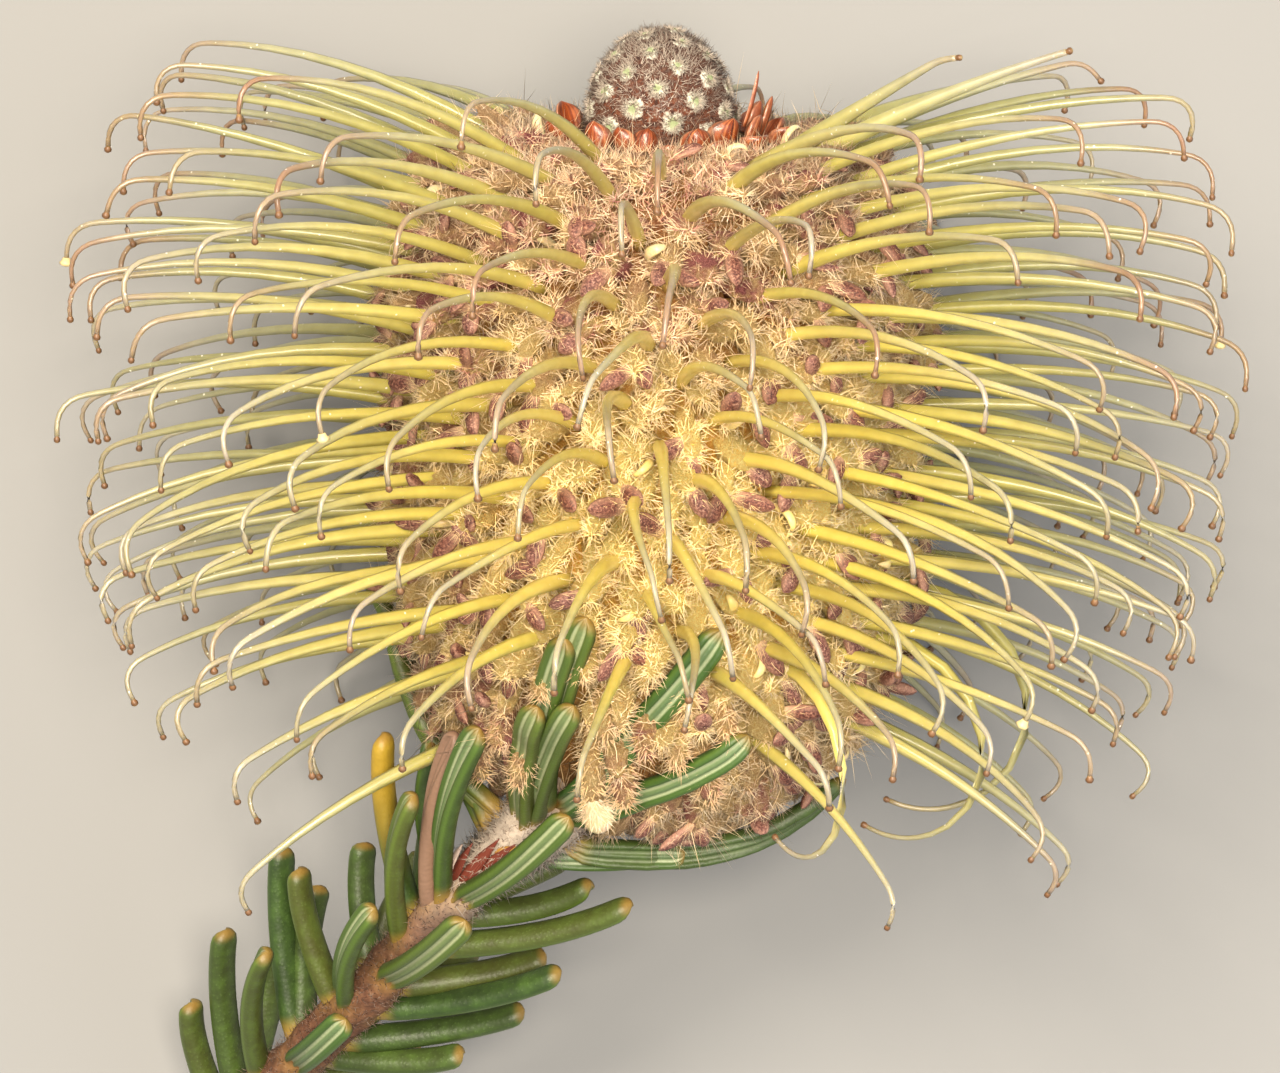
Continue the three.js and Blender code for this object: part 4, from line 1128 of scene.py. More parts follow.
makePiece("open_segments", segmentTubes, tubeFaces(len(opened), segments["rings"], segments["sides"]), {
    "gold": goldAndFrontLightAt(segmentTubes.reshape(-1, 3)),
}, openSegment)
print("perianths made")

# wool hairs

# how many hairs of each kind, and their shortest and longest; fuzz is for each layer, limb for each limb;
# the radius is about twice that of a real hair, so that they show
hairs = {"layers": 3, "fuzz": 33500, "fuzzLength": (0.35, 1.15), "fuzzFrom": 0.52,
         "floor": 6500, "floorLength": (0.8, 2.0), "long": 8400, "longLength": (0.7, 1.9), "longFrom": 0.55,
         "limb": 13, "limbLength": (0.35, 1.2), "shoulder": 4800, "shoulderLength": (0.4, 1.5),
         "hangingLength": (0.35, 1.0), "bulbLength": (0.3, 0.9), "radius": 0.024}


def randomUnit(count):
    # ways that point anywhere, evenly
    return unit(chance.normal(size=(count, 3)))


shownMost = 0.4 + 0.6 * smooth(0.5 + 1.2 * normal[:, 2])
shownMost = shownMost / shownMost.sum()


def onClaws(count, lowest):
    # points on the claws, with the way out from each: most near the tips, and fewer underneath
    which = chance.choice(len(owner), count, p=shownMost)
    share = 1 - (1 - lowest) * chance.uniform(0, 1, count) ** 1.5
    around = chance.uniform(0, 2 * np.pi, count)
    out = wayRound(around, budward[which], sideward[which])
    reach = np.interp(share, claws["rings"], claws["profile"]) * claws["radius"] * 0.8
    roots = clawLine(share, which) + out * reach[:, None]
    return roots, out, normal[which], share, clawMauve[which]


for layer in range(hairs["layers"]):
    count = hairs["fuzz"]
    roots, out, normalThere, share, rosy = onClaws(count, hairs["fuzzFrom"])
    direction = unit(0.7 * out + normalThere * (share - 0.2)[:, None] + randomUnit(count))
    kept = clearance(roots + direction * 0.3) > 0
    lengths = chance.uniform(*hairs["fuzzLength"], count)[kept]
    values = {
        "gold": (goldAndFrontLightAt(roots) * chance.uniform(0.35, 1.1, count))[kept],
        "mauve": np.clip(roseAt(roots) * rosy * chance.uniform(0.1, 1.1, count), 0, 1)[kept],
        "pale": 0.8 * chance.uniform(0, 1, count)[kept] ** 4,
    }
    lit = (0.5 * out + 1.4 * normalThere + 0.5 * randomUnit(count))[kept]
    makeHairs("claw_fuzz_" + str(layer + 1), roots[kept], direction[kept], lengths, 0 * direction[kept],
              hairs["radius"], values, woolHair, rings=2, shading=lit)

count = hairs["floor"]
rootAlong, rootTurn = bodyPlaces(-20.0, 20.0, count)
rootRadius = bodyRadius(rootAlong)
rootNormal = bodyNormal(rootRadius, rootTurn, rootAlong)
roots = onHead(rootRadius, rootTurn, rootAlong) - settledBy(rootNormal)
sunk = wool["sunk"] + wool["valley"] * (1 - clumpHeight(roots)) + 0.1
roots = underDome(roots) - rootNormal * sunk[:, None]
direction = unit(rootNormal + 0.7 * randomUnit(count))
makeHairs("floor_fuzz", roots, direction, chance.uniform(*hairs["floorLength"], count), 0 * direction,
          hairs["radius"] * 1.4, {
    "gold": goldAndFrontLightAt(roots),
    "mauve": roseAt(roots) * chance.uniform(0, 0.9, count) ** 2,
}, woolHair, rings=2, shading=rootNormal + 0.6 * randomUnit(count))

count = hairs["long"]
roots, out, normalThere, share, rosy = onClaws(count, hairs["longFrom"])
direction = unit(out + normalThere * (share * 0.9)[:, None] + 0.6 * randomUnit(count))
kept = clearance(roots + direction * 0.5) > 0.02
makeHairs("long_wool_hairs", roots[kept], direction[kept], chance.uniform(*hairs["longLength"], count)[kept],
          0.85 * randomUnit(count)[kept], hairs["radius"] * 0.8, {
    "gold": 0.8 * goldAndFrontLightAt(roots)[kept],
    "mauve": (0.6 * roseAt(roots) * chance.uniform(0, 1, count))[kept],
    "pale": 0.6 * chance.uniform(0, 1, count)[kept],
}, woolHair, shading=(out + normalThere + 0.6 * randomUnit(count))[kept])

which = np.repeat(np.arange(len(limbPaths)), hairs["limb"])
count = len(which)
share = chance.uniform(0, 0.8, count) ** 1.6
around = chance.uniform(-0.2, np.pi + 0.2, count)
out = wayRound(around, side[which, 3], up[which, 3])
reach = np.interp(share, limbs["rings"], limbs["profile"])
roots = limbPaths[which, 0] + (limbPaths[which, -1] - limbPaths[which, 0]) * share[:, None]
roots = roots + normal[shown[which]] * (limbs["bow"] * (share - share ** 2))[:, None]
roots = roots + side[which, 3] * (np.cos(around) * reach * limbs["width"] * 0.85)[:, None]
roots = roots + up[which, 3] * (np.sin(around) * reach * limbs["thickness"] * 0.85)[:, None]
direction = unit(out * 0.6 + limbHeading[which] * 0.9 + 0.35 * randomUnit(count))
lengths = chance.uniform(*hairs["limbLength"], count) * (1.15 - 0.6 * share)
makeHairs("limb_hairs", roots, direction, lengths, 0 * direction, hairs["radius"] * 0.85, {
    "gold": 0.5 * goldAndFrontLightAt(roots),
    "mauve": 0.3 * chance.uniform(0, 1, count),
}, woolHair, rings=2, shading=out + normal[shown[which]])


def onFront(across, lengthways):
    # the wool's highest point above places on the table, measured from the middle of the head
    z = np.linspace(18, -18, 721)
    line = np.zeros((len(across), len(z)))
    offset = np.stack([across[:, None] + line, lengthways[:, None] + line, z + line], axis=-1)
    distance, _, along = headPlace(head["centre"] + offset)
    first = (bodyLevel(distance, along) < 0).argmax(axis=1)
    return head["centre"] + offset[np.arange(len(across)), first] - np.array([0, 0, wool["settled"]])


# woolly perianths that hang over the leaves: root and tip from the middle of the head, half width and
# rosiness
hanging = {
    "rows": np.array([
        [-3.4, -13.2, -2.8, -17.9, 0.62, 0.15], [-8.9, -13.4, -8.3, -16.4, 0.55, 0.5],
        [-7.6, -11.6, -7.5, -14.6, 0.6, 0.8], [-5.2, -9.4, -5.5, -11.9, 0.6, 0.4],
        [-2.5, -11.0, -2.3, -14.0, 0.66, 0.4], [-0.6, -11.4, -0.4, -15.0, 0.62, 0.9],
        [0.9, -12.2, 1.2, -15.6, 0.6, 0.5], [2.4, -14.2, 2.7, -17.3, 0.6, 0.8],
        [-0.2, -8.6, -0.6, -11.2, 0.64, 0.1], [1.7, -9.6, 1.5, -12.6, 0.64, 0.2],
        [3.4, -11.4, 3.5, -14.3, 0.6, 0.5], [-1.7, -14.6, -1.4, -17.6, 0.6, 0.7],
        [-6.4, -13.6, -6.6, -16.6, 0.55, 0.6], [-3.2, -8.4, -3.5, -10.8, 0.6, 0.3],
    ]),
    "rings": np.array([0, 0.2, 0.4, 0.6, 0.78, 0.92, 1]),
    "profile": np.array([0.8, 0.95, 1.0, 1.05, 1.0, 0.75, 0.2]),
    "bulge": 1.9, "over": 1.2, "sunk": 1.2, "lumps": 0.13, "sides": 8, "fuzz": 300,
}
rows = hanging["rows"]
hangRoot = onFront(rows[:, 0], rows[:, 1])
hangTip = onFront(rows[:, 2], rows[:, 3])
hangOut = unit(outward(headPlace(hangRoot)[1]) + 0.2 * np.array([0, 0, 1.0]))
hangRoot = hangRoot - hanging["sunk"] * hangOut
hangTip = hangTip + hanging["over"] * hangOut
hangMiddle = mix(hangRoot, hangTip, 0.5) + hanging["bulge"] * hangOut


def hangLine(share, which=slice(None)):
    # quadratic arch from root over middle to tip
    s = share[..., None]
    return (1 - s) ** 2 * hangRoot[which] + 2 * s * (1 - s) * hangMiddle[which] + s * s * hangTip[which]


hangPaths = np.stack([hangLine(np.full(len(rows), share)) for share in hanging["rings"]], axis=1)
hangRadius = rows[:, 4:5] * hanging["profile"][None]
hangHint = np.broadcast_to(hangOut[:, None], hangPaths.shape)
hangTubes = sweep(hangPaths, hangRadius, hangRadius * 0.9, hangHint, hanging["sides"])
hangTubes = hangTubes + hanging["lumps"] * chance.normal(size=hangTubes.shape) * hangRadius[..., None, None]
hangOnes = np.ones(hangTubes.shape[:3])
makePiece("hanging_perianths", hangTubes, tubeFaces(len(rows), len(hanging["rings"]), hanging["sides"]), {
    "gold": goldAndFrontLightAt(hangTubes.reshape(-1, 3)),
    "mauve": rows[:, 5][:, None, None] * hangOnes,
    # painted shade at the root of each, where it leaves the wool
    "deep": np.clip(0.7 - 1.4 * hanging["rings"], 0, 1)[None, :, None] * hangOnes,
}, feltedWool)
which = np.repeat(np.arange(len(rows)), hanging["fuzz"])
count = len(which)
share = chance.uniform(0.1, 1, count)
around = chance.uniform(0, 2 * np.pi, count)
way = unit(hangLine(np.minimum(share + 0.05, 1.05), which) - hangLine(share - 0.05, which))
flank = unit(np.cross(hangOut[which], way))
out = wayRound(around, flank, np.cross(way, flank))
reach = rows[which, 4] * np.interp(share, hanging["rings"], hanging["profile"]) * 0.8
makeHairs("hanging_fuzz", hangLine(share, which) + out * reach[:, None],
          unit(out + 0.4 * way + 0.8 * randomUnit(count)), chance.uniform(*hairs["hangingLength"], count),
          0 * out, hairs["radius"] * 1.2, {
    "gold": 0.4 * chance.uniform(0, 1, count),
    "mauve": rows[which, 5] * chance.uniform(0.1, 0.9, count),
}, woolHair, rings=2, shading=out + hangOut[which] + 0.6 * randomUnit(count))

bulb = {"length": 2.9, "radius": 0.8, "sides": 14, "fuzz": 420,
        "shares": np.array([0, 0.08, 0.22, 0.4, 0.6, 0.78, 0.92, 0.985, 1]),
        "profile": np.array([0.3, 0.5, 0.66, 0.86, 1.0, 0.96, 0.66, 0.28, 0.06])}
bulbWay = unit(hangTip[:1] - hangMiddle[:1])
bulbPaths = hangTip[:1, None] + bulbWay[:, None] * ((bulb["shares"] - 0.45) * bulb["length"])[None, :, None]
bulbRadius = bulb["radius"] * bulb["profile"][None]
bulbHint = np.broadcast_to(hangOut[:1, None], bulbPaths.shape)
bulbTube = sweep(bulbPaths, bulbRadius, bulbRadius, bulbHint, bulb["sides"])
makePiece("unopened_bulb", bulbTube, tubeFaces(1, len(bulb["shares"]), bulb["sides"]), {"gold": 0.15},
          openSegment)
count = bulb["fuzz"]
share = chance.uniform(0, 0.62, count)
around = chance.uniform(0, 2 * np.pi, count)
flank = unit(np.cross(hangOut[0], bulbWay[0]))
out = wayRound(around, flank, np.cross(bulbWay[0], flank))
reach = np.interp(share, bulb["shares"], bulb["profile"]) * bulb["radius"] * 0.9
roots = hangTip[0] + bulbWay[0] * ((share - 0.45) * bulb["length"])[:, None] + out * reach[:, None]
makeHairs("bulb_fuzz", roots, unit(0.6 * out + 0.7 * bulbWay[0] + 0.7 * randomUnit(count)),
          chance.uniform(*hairs["bulbLength"], count), 0 * out, hairs["radius"] * 1.2, {
    "gold": np.zeros(count), "mauve": 0.25 * chance.uniform(0, 1, count), "pale": chance.uniform(0, 1, count),
}, woolHair, rings=2, shading=out + hangOut[0])

count = hairs["shoulder"]
rootAlong = chance.uniform(15.5, 19.2, count)
rootTurn = chance.uniform(0, 2 * np.pi, count)
rootRadius = bodyRadius(rootAlong)
rootNormal = bodyNormal(rootRadius, rootTurn, rootAlong)
roots = underDome(onHead(rootRadius, rootTurn, rootAlong)) - rootNormal * 0.5
direction = unit(rootNormal + 0.3 * axis + 0.9 * randomUnit(count))
makeHairs("shoulder_hairs", roots, direction, chance.uniform(*hairs["shoulderLength"], count), 0 * direction,
          hairs["radius"], {
    "gold": np.zeros(count),
    "mauve": chance.uniform(0.1, 1.1, count),
    "pale": 0.8 * (chance.uniform(0, 1, count) > 0.75),
}, woolHair, rings=2, shading=rootNormal + 0.5 * randomUnit(count))
print("wool made")

# bud dome

dome = {"foot": 18.5, "height": 5.2, "radius": 3.85, "underside": 0.35, "squareness": 0.48, "tufts": 38,
        "tuftSize": 0.66, "tuftHeight": 0.4, "sunk": 0.15, "grain": 0.05, "around": 110, "rows": 70}


def domePoint(height, turn):
    # across = R (1 - h^2)^s, along = foot + h H, with a shallow underside
    level = np.where(height > 0, height, height * dome["underside"])
    across = np.maximum(0, 1 - height ** 2) ** dome["squareness"] * dome["radius"]
    return onHead(across, turn, dome["foot"] + level * dome["height"])


tuftOrder = (np.arange(dome["tufts"]) + 0.5) / dome["tufts"]
tuftPlaces = domePoint(1 - tuftOrder * 0.97, np.arange(dome["tufts"]) * goldenAngle)
domeMiddle = head["centre"] + axis * (dome["foot"] + 1.2)
tuftOut = unit(tuftPlaces - domeMiddle)


def tuftShare(points):
    # exp(-(distance to the nearest tuft / its size)^2)
    nearest = np.linalg.norm(points[:, None] - tuftPlaces[None], axis=-1).min(axis=1)
    low = mix(1.15, 0.75, smooth((headPlace(points)[2] - dome["foot"]) / dome["height"]))
    return np.exp(-(nearest / dome["tuftSize"] / low) ** 2)


rowAngle = np.linspace(0, np.pi, dome["rows"])[1:-1]
gridHeight, gridTurn = np.meshgrid(np.cos(rowAngle), np.arange(dome["around"]) * 2 * np.pi / dome["around"],
                                   indexing="ij")
surface = domePoint(gridHeight, gridTurn).reshape(-1, 3)
tufted = tuftShare(surface)
surface = surface + unit(surface - domeMiddle) * (dome["tuftHeight"] * tufted - dome["sunk"])[:, None]
surface = surface + dome["grain"] * chance.normal(size=surface.shape)
ends = np.stack([domePoint(np.array(1.0), np.array(0.0)), domePoint(np.array(-1.0), np.array(0.0))])
makePiece("dome_felt", np.vstack([surface, ends]), roundFaces(*gridHeight.shape), {
    "tuft": np.concatenate([tufted, [0.3, 0]]),
    "high": np.concatenate([gridHeight.ravel(), [1, 0]]),
}, rustFelt, ["bud_dome"])

domeHairs = {"count": 10500, "length": 0.8, "uneven": (0.5, 1.3), "radius": 0.03, "perTuft": 120,
             "tuftLength": 0.46, "tuftUneven": (0.6, 1.3)}
count = domeHairs["count"]
roots = domePoint(chance.uniform(-0.1, 1.0, count), chance.uniform(0, 2 * np.pi, count))
normalThere = unit(roots - domeMiddle)
near = tuftShare(roots)
roots = roots - normalThere * 0.2
direction = unit(normalThere + 0.8 * randomUnit(count))
length = domeHairs["length"] * chance.uniform(*domeHairs["uneven"], count) * mix(1.0, 0.5, near)
heightThere = (headPlace(roots)[2] - dome["foot"]) / dome["height"]
rusty = chance.uniform(0, 1, count) < mix(0.88, 0.5, smooth(heightThere * 1.2))
makeHairs("dome_hairs", roots, direction, length, 0 * direction, domeHairs["radius"], {
    "gold": 0.15 * chance.uniform(0, 1, count),
    "mauve": np.where(rusty, 1.0, 0.15),
}, feltHair, rings=2, shading=normalThere)

which = np.repeat(np.arange(dome["tufts"]), domeHairs["perTuft"])
count = len(which)
sideways = randomUnit(count)
sideways = unit(sideways - tuftOut[which] * (sideways * tuftOut[which]).sum(axis=1)[:, None])
roots = tuftPlaces[which] + tuftOut[which] * 0.2 + sideways * chance.uniform(0.12, 0.5, count)[:, None]
raised = tuftOut[which] * chance.uniform(0.2, 1.6, count)[:, None]
direction = unit(0.8 * sideways + raised + 0.5 * randomUnit(count))
length = domeHairs["tuftLength"] * chance.uniform(*domeHairs["tuftUneven"], count)
makeHairs("tuft_hairs", roots, direction, length, -0.25 * tuftOut[which], domeHairs["radius"] * 0.9, {
    "gold": 0.1 * chance.uniform(0, 1, count),
    "mauve": np.zeros(count),
}, feltHair, rings=2)


def makeBlades(name, paths, widths, thickness, facing, material, extra):
    # closed leaf-like pieces: a flat ellipse carried along each path, cupped towards the way it faces
    sides = 12
    angle = np.arange(sides) * 2 * np.pi / sides
    points = sweep(paths, widths, thickness * widths ** 0.5, facing, sides)
    _, _, up = frames(paths, facing)
    cup = extra.pop("cup") * (np.cos(angle) ** 2)[None, None] * widths[..., None]
    points = points + up[:, :, None] * cup[..., None]
    points[..., 2] = np.maximum(points[..., 2], 0.02)
    each = np.ones(points.shape[:3])
    values = {label: value * each for label, value in extra.items()}
    values["stripe"] = (np.cos(angle) * 2)[None, None] * each + np.arange(len(paths))[:, None, None] * 5.3
    values["rim"] = (np.abs(np.cos(angle)) ** 8)[None, None] * each
    makePiece(name, points, tubeFaces(len(paths), paths.shape[1], sides), values, material)


# turn round the head, distance from its axis, place along it, length, half width, lean outwards, twist
bracts = np.array([
    [153, 6.0, 17.9, 1.6, 1.15, 0.9, 0.2], [172, 5.2, 17.9, 1.5, 0.9, 0.8, -0.4],
    [134, 5.1, 17.8, 1.5, 0.95, 0.3, 0.1], [117, 4.5, 17.9, 1.2, 0.8, 0.5, -0.3],
    [101, 4.4, 17.6, 1.4, 0.8, 0.2, 0.3], [84, 4.8, 17.3, 1.2, 0.7, 0.8, -0.3],
    [67, 5.1, 17.6, 1.6, 0.95, 0.4, -0.1], [57, 5.7, 17.6, 1.3, 0.9, 1.0, 0.5],
    [46, 5.1, 18.0, 1.7, 1.15, 0.5, 0.1], [37, 6.1, 17.7, 1.5, 0.9, 1.2, -0.4],
    [28, 5.4, 18.2, 1.6, 0.75, 0.6, 0.6], [19, 6.5, 17.9, 1.6, 0.7, 1.1, -0.5],
    [12, 5.4, 18.4, 2.2, 0.4, 0.5, 0.3], [0, 5.9, 17.9, 1.6, 0.75, 0.9, 0.4],
    [25, 4.9, 19.0, 3.0, 0.17, 0.35, 0.3], [-14, 5.1, 18.0, 2.0, 0.8, 0.4, -0.3],
    [-33, 5.6, 17.9, 1.6, 0.6, 0.9, 0.6], [-52, 5.0, 17.7, 1.7, 0.9, 0.4, 0.0],
    [-78, 4.8, 17.9, 1.9, 0.7, 0.3, 0.5], [-104, 5.2, 17.8, 1.8, 0.9, 0.6, -0.4],
    [-131, 4.9, 17.9, 1.7, 0.75, 0.3, 0.3], [-158, 5.3, 18.0, 1.8, 0.85, 0.7, -0.5],
])
t = np.linspace(0, 1, 12)
bractTurn = np.radians(bracts[:, 0])
out = outward(bractTurn)
ringward = np.cross(axis, out)
stand = unit(axis + out * bracts[:, 5:6] + 0.5 * bracts[:, 6:7] * ringward)
bractStart = onHead(bracts[:, 1], bractTurn, bracts[:, 2])
bractPaths = bractStart[:, None] + stand[:, None] * (t[None, :, None] * bracts[:, 3, None, None])
bractPaths = bractPaths + (axis * 0.2 - out[:, None] * 0.5) * (t ** 2 * 0.8)[None, :, None]
shape = np.interp(t, [0, 0.15, 0.4, 0.65, 0.82, 0.93, 1], [0.7, 0.92, 1, 0.95, 0.76, 0.46, 0.06])
bractFacing = unit(out + bracts[:, 6:7] * ringward)
makeBlades("papery_bracts", bractPaths, bracts[:, 4:5] * shape[None], 0.2,
           np.broadcast_to(bractFacing[:, None], bractPaths.shape), paperyBract, {"cup": -0.7})
print("dome made")

# leaves

# cross-section of a leaf from the right margin over the grooved underside to the left one, then back
# over the rounded upper side: share of the half width, share of the half thickness, 1 on the underside
half = np.array([
    [1.0, 0.0, 0.4], [0.97, 0.35, 0.8], [0.86, 0.72, 1], [0.7, 0.92, 1], [0.56, 0.9, 1], [0.45, 0.66, 1],
    [0.34, 0.5, 1], [0.2, 0.52, 1], [0.12, 0.68, 1], [0.0, 0.78, 1],
])
back = np.array([[-0.93, -0.4, 0], [-0.75, -0.72, 0], [-0.45, -0.94, 0], [0, -1.0, 0]])
mirrored = half[:-1][::-1] * [-1, 1, 1]
section = np.vstack([half, mirrored, back, back[:-1][::-1] * [-1, 1, 1]])
share = np.linspace(0, 1, leaves["rings"])
share = 1 - (1 - share) ** 1.35
leafPaths = np.array([
    np.stack([np.interp(share * (leaves["rings"] - 1), np.arange(leaves["rings"]), path[:, k])
              for k in range(3)], axis=1) for path in leafPaths])
petiole = mix(leaves["petioleWidth"], 1, smooth((share - 0.06) / leaves["petiole"]))
blunt = np.sqrt(np.clip(1 - ((share - 0.93) / 0.07) ** 2, 0, 1)) * (share > 0.93) + (share <= 0.93)
number = np.arange(len(leafPaths))
width = leaves["width"] / 2 * (petiole * np.maximum(blunt, 0.12))[None]
width = width * (1 + 0.05 * spread(number, 91))[:, None]
height = leaves["thickness"] / 2 * (mix(1, 0.85, share) * np.maximum(blunt, 0.2))[None] + np.zeros_like(width)
distance, turn, along = headPlace(leafPaths)
away = smooth(bodyLevel(distance, along) / leaves["turning"])[..., None]
facing = outward(turn) * (1 - away) + leafBacks[:, None] * away
tangent, side, up = frames(leafPaths, facing)
leafTubes = leafPaths[:, :, None] + side[:, :, None] * (width[..., None] * section[:, 0])[..., None]
leafTubes = leafTubes + up[:, :, None] * (height[..., None] * section[:, 1])[..., None]
leafTubes[..., 2] = np.maximum(leafTubes[..., 2], 0.05)
leafOnes = np.ones(leafTubes.shape[:3])
makePiece("leaf_blades", leafTubes, tubeFaces(len(leafPaths), leaves["rings"], len(section)), {
    "share": share[None, :, None] * leafOnes,
    "across": section[None, None, :, 0] * leafOnes,
    "below": section[None, None, :, 2] * leafOnes * (1 - 0.75 * (number == leaves["plain"]))[:, None, None],
    "yellowing": np.clip(0.12 * draw(number, 92)[:, None] + (number == leaves["yellow"])[:, None] *
                         smooth((share - 0.25) / 0.6), 0, 1)[:, :, None] * leafOnes,
    "dead": 1.0 * (number == leaves["dead"])[:, None, None] * leafOnes,
}, leatheryLeaf, ["leafy_stem"])

# twig

twig = {"rings": 130, "sides": 28}
twigPath = resampled(stemFine, twig["rings"])
station = np.linspace(0, stemLength, twig["rings"])
twigWidth = stemWidth(station)
tangent, side, up = frames(twigPath[None], np.array([0, 0, 1.0]))
angle = np.arange(twig["sides"]) * 2 * np.pi / twig["sides"]
lumps = 0.06 * np.sin(3 * angle[None] + station[:, None] * 0.9)
lumps = lumps + 0.04 * np.sin(5 * angle[None] - station[:, None] * 2.3)
barkWay = side[:, :, None] * np.cos(angle)[:, None] + up[:, :, None] * np.sin(angle)[:, None]
twigTube = twigPath[None, :, None] + barkWay * (twigWidth[:, None] * (1 + lumps))[None, ..., None]
leafFoot = leafPaths[:, 2]
nearFoot = np.linalg.norm(twigTube.reshape(-1, 1, 3) - leafFoot[None], axis=-1).min(axis=1)
makePiece("twig", twigTube, tubeFaces(1, twig["rings"], twig["sides"]), {
    "woolly": np.repeat(0.75 * np.exp(-((station - 8) / 5) ** 2), twig["sides"]),
    "scar": np.exp(-(nearFoot / 0.9) ** 2),
}, downyBark)

# the cushion is the thick wool just under the head: its middle and spread along the twig
twigHairs = {"count": 5000, "length": (0.25, 0.6), "radius": 0.02, "cushion": 3000,
             "cushionPlace": (8.0, 2.2), "cushionLength": (0.4, 0.95)}


def onTwig(spot, uneven):
    # points on the bark at places given as rings of the twig, with the way out from each
    ring = spot.astype(int)
    bark = twigTube[0, ring, chance.integers(0, twig["sides"], len(spot))]
    return bark + uneven * randomUnit(len(spot)), unit(bark - twigPath[ring]), ring


count = twigHairs["count"]
roots, normal, ring = onTwig(chance.uniform(0, 1, count) ** 1.4 * (twig["rings"] - 30) + 14, 0.1)
direction = unit(normal * 0.7 - tangent[0, ring] * 0.5 + 0.7 * randomUnit(count))
makeHairs("twig_hairs", roots, direction, chance.uniform(*twigHairs["length"], count),
          0.5 * randomUnit(count), twigHairs["radius"], {
    "gold": np.zeros(count),
    "mauve": 0.6 + 0.4 * chance.uniform(0, 1, count),
}, feltHair, rings=2)
count = twigHairs["cushion"]
spot = np.clip(chance.normal(*twigHairs["cushionPlace"], count), 4, 13) / stemLength * (twig["rings"] - 1)
roots, normal, _ = onTwig(spot, 0.15)
direction = unit(normal * 0.8 + 0.9 * randomUnit(count))
makeHairs("twig_wool", roots, direction, chance.uniform(*twigHairs["cushionLength"], count),
          0.6 * randomUnit(count), twigHairs["radius"] * 1.3, {
    "gold": np.zeros(count),
    "mauve": 0.2 * chance.uniform(0, 1, count),
}, feltHair, rings=2, shading=normal)

# distance down the twig, turn round it (90 is its top), length, half width, lean, tone
scales = np.array([
    [12.6, 104, 3.6, 0.46, 0.12, 0], [11.8, 72, 3.9, 0.44, 0.1, 0], [10.6, 96, 3.1, 0.48, 0.16, 0],
    [11.4, 136, 3.0, 0.42, 0.18, 0], [12.2, 44, 2.9, 0.42, 0.2, 0], [9.4, 98, 1.9, 0.62, 0.3, 0.5],
    [12.9, 14, 2.6, 0.85, 0.15, 1], [10.2, 172, 2.8, 0.5, 0.2, 0], [11.6, 215, 3.2, 0.45, 0.15, 0],
    [10.4, 262, 2.6, 0.5, 0.2, 0], [12.0, 310, 3.0, 0.45, 0.15, 0], [9.2, 340, 2.4, 0.6, 0.2, 0],
])
t = np.linspace(0, 1, 12)
scaleFrames = [stemFrame(row[0]) for row in scales]
scalePlace, scaleForward, scaleLeft, scaleUp = (np.array([each[k] for each in scaleFrames]) for k in range(4))
scaleOut = wayRound(np.radians(scales[:, 1]), scaleLeft, scaleUp)
scaleStart = scalePlace + scaleOut * (stemWidth(scales[:, 0]) - 0.12)[:, None]
scaleWay = unit(scaleForward + scaleOut * scales[:, 4:5])
scalePaths = scaleStart[:, None] + scaleWay[:, None] * (t[None, :, None] * scales[:, 2, None, None])
scalePaths = scalePaths + scaleOut[:, None] * (0.35 * t * (1 - t) + 0.15 * t)[None, :, None]
shape = np.interp(t, [0, 0.15, 0.35, 0.6, 0.85, 1], [0.7, 0.95, 1, 0.72, 0.32, 0.05])
makeBlades("twig_scales", scalePaths, scales[:, 3:4] * shape[None], 0.2,
           np.broadcast_to(scaleOut[:, None], scalePaths.shape), dryScale,
           {"cup": -0.3, "tone": scales[:, 5, None, None]})
print("stem made")

# table, light and camera

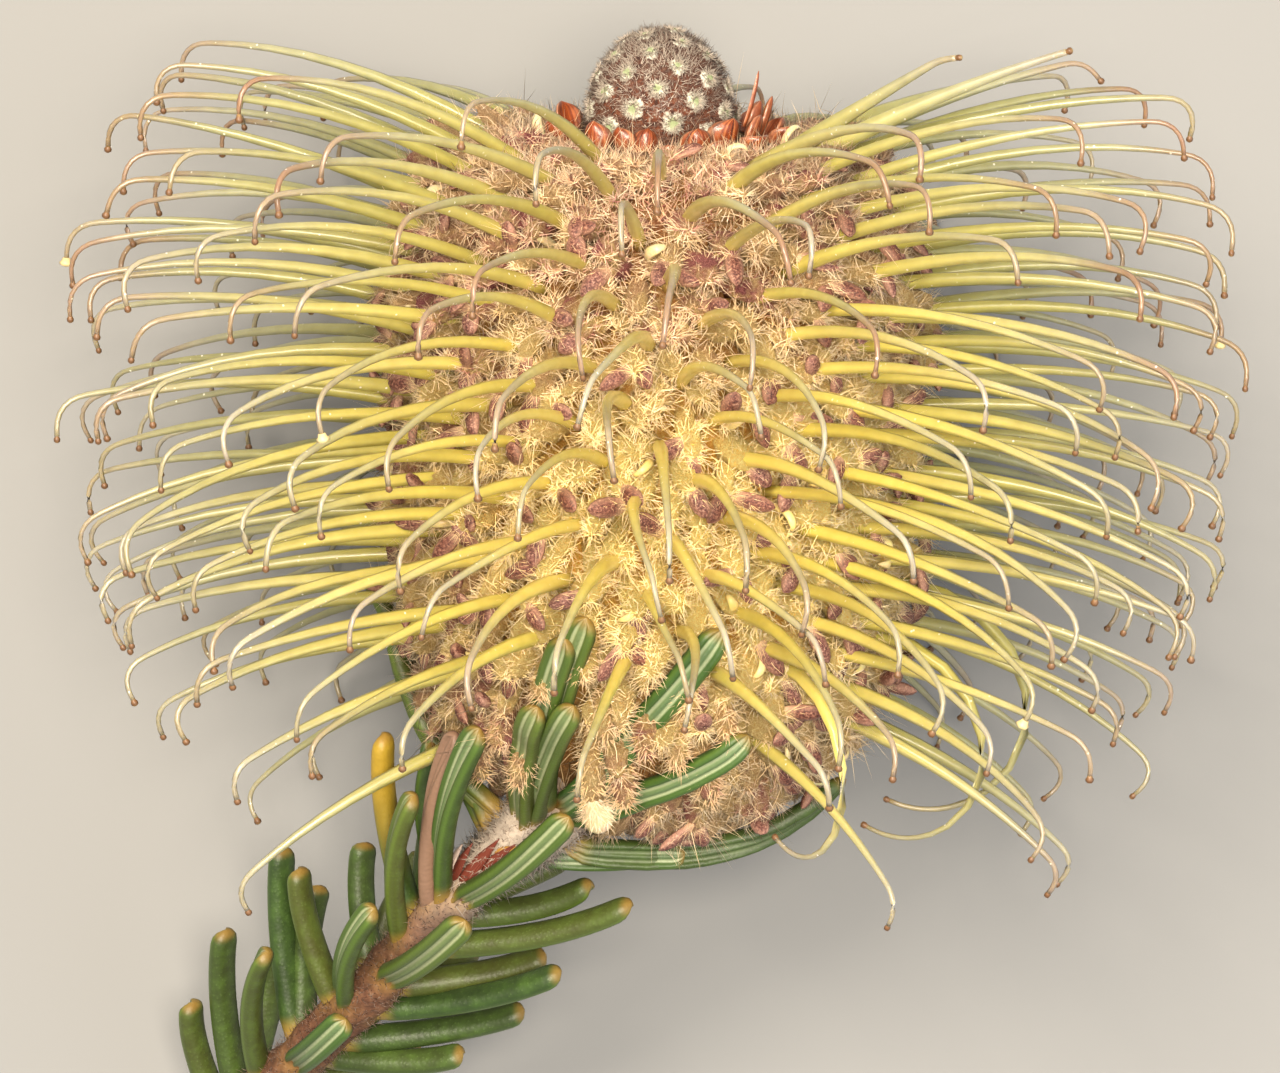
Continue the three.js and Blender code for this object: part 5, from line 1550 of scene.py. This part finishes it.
table = bpy.data.meshes.new("table")
table.from_pydata([(-1, -1, 0), (1, -1, 0), (1, 1, 0), (-1, 1, 0)], [], [(0, 1, 2, 3)])  # 2 m square
floor = bpy.data.objects.new("table", table)
bpy.context.scene.collection.objects.link(floor)
paleTable, tree = startMaterial("paleTable")
place = addNode(tree, "ShaderNodeTexCoord")
haze = addNode(tree, "ShaderNodeTexNoise", {"Scale": 8.0}, {"Vector": place.outputs["Object"]})
pale = addNode(tree, "ShaderNodeMix", {"data_type": "RGBA", 6: "#868684", 7: "#8C8C8A"},
               {0: haze.outputs["Fac"]})
finishMaterial({"Roughness": 0.8}, pale.outputs[2], tree)
table.materials.append(paleTable)
print("table made")

lights = {
    "key": {"place": (-90, 120, 330), "target": (0, 0, 20), "size": 110, "power": 1.6, "colour": "#FFF2E0"},
    "fill": {"place": (200, -60, 200), "target": (0, 0, 20), "size": 220, "power": 0.35, "colour": "#F2F6FF"},
    "top": {"place": (20, 10, 420), "target": (0, 5, 20), "size": 100, "power": 2.15, "colour": "#FFF2E0"},
}
for name, light in lights.items():
    lamp = bpy.data.lights.new(name, "AREA")
    lamp.size = light["size"] * mm
    lamp.energy = light["power"]
    lamp.color = tuple(linear(light["colour"]))
    holder = bpy.data.objects.new(name, lamp)
    bpy.context.scene.collection.objects.link(holder)
    holder.location = np.array(light["place"]) * mm
    aim = (np.array(light["target"]) - np.array(light["place"])) * mm
    holder.rotation_euler = Vector(aim).to_track_quat("-Z", "Y").to_euler()

# even light from all round, a little cool
world = bpy.data.worlds.new("softRoom")
bpy.context.scene.world = world
world.use_nodes = True
world.node_tree.nodes["Background"].inputs["Color"].default_value = (*linear("#E8EAEE"), 1)
world.node_tree.nodes["Background"].inputs["Strength"].default_value = 0.45

# straight above the head, with the bud end at the top of the picture
camera = {"place": (-0.556, 4.019, 312.5), "lens": 150, "sensor": 36}
view = bpy.data.cameras.new("overhead")
view.lens = camera["lens"]
view.sensor_width = camera["sensor"]
view.clip_start = 0.01
view.clip_end = 10
overhead = bpy.data.objects.new("overhead", view)
overhead.location = np.array(camera["place"]) * mm
bpy.context.scene.collection.objects.link(overhead)
bpy.context.scene.camera = overhead
bpy.context.scene.view_settings.view_transform = "Standard"
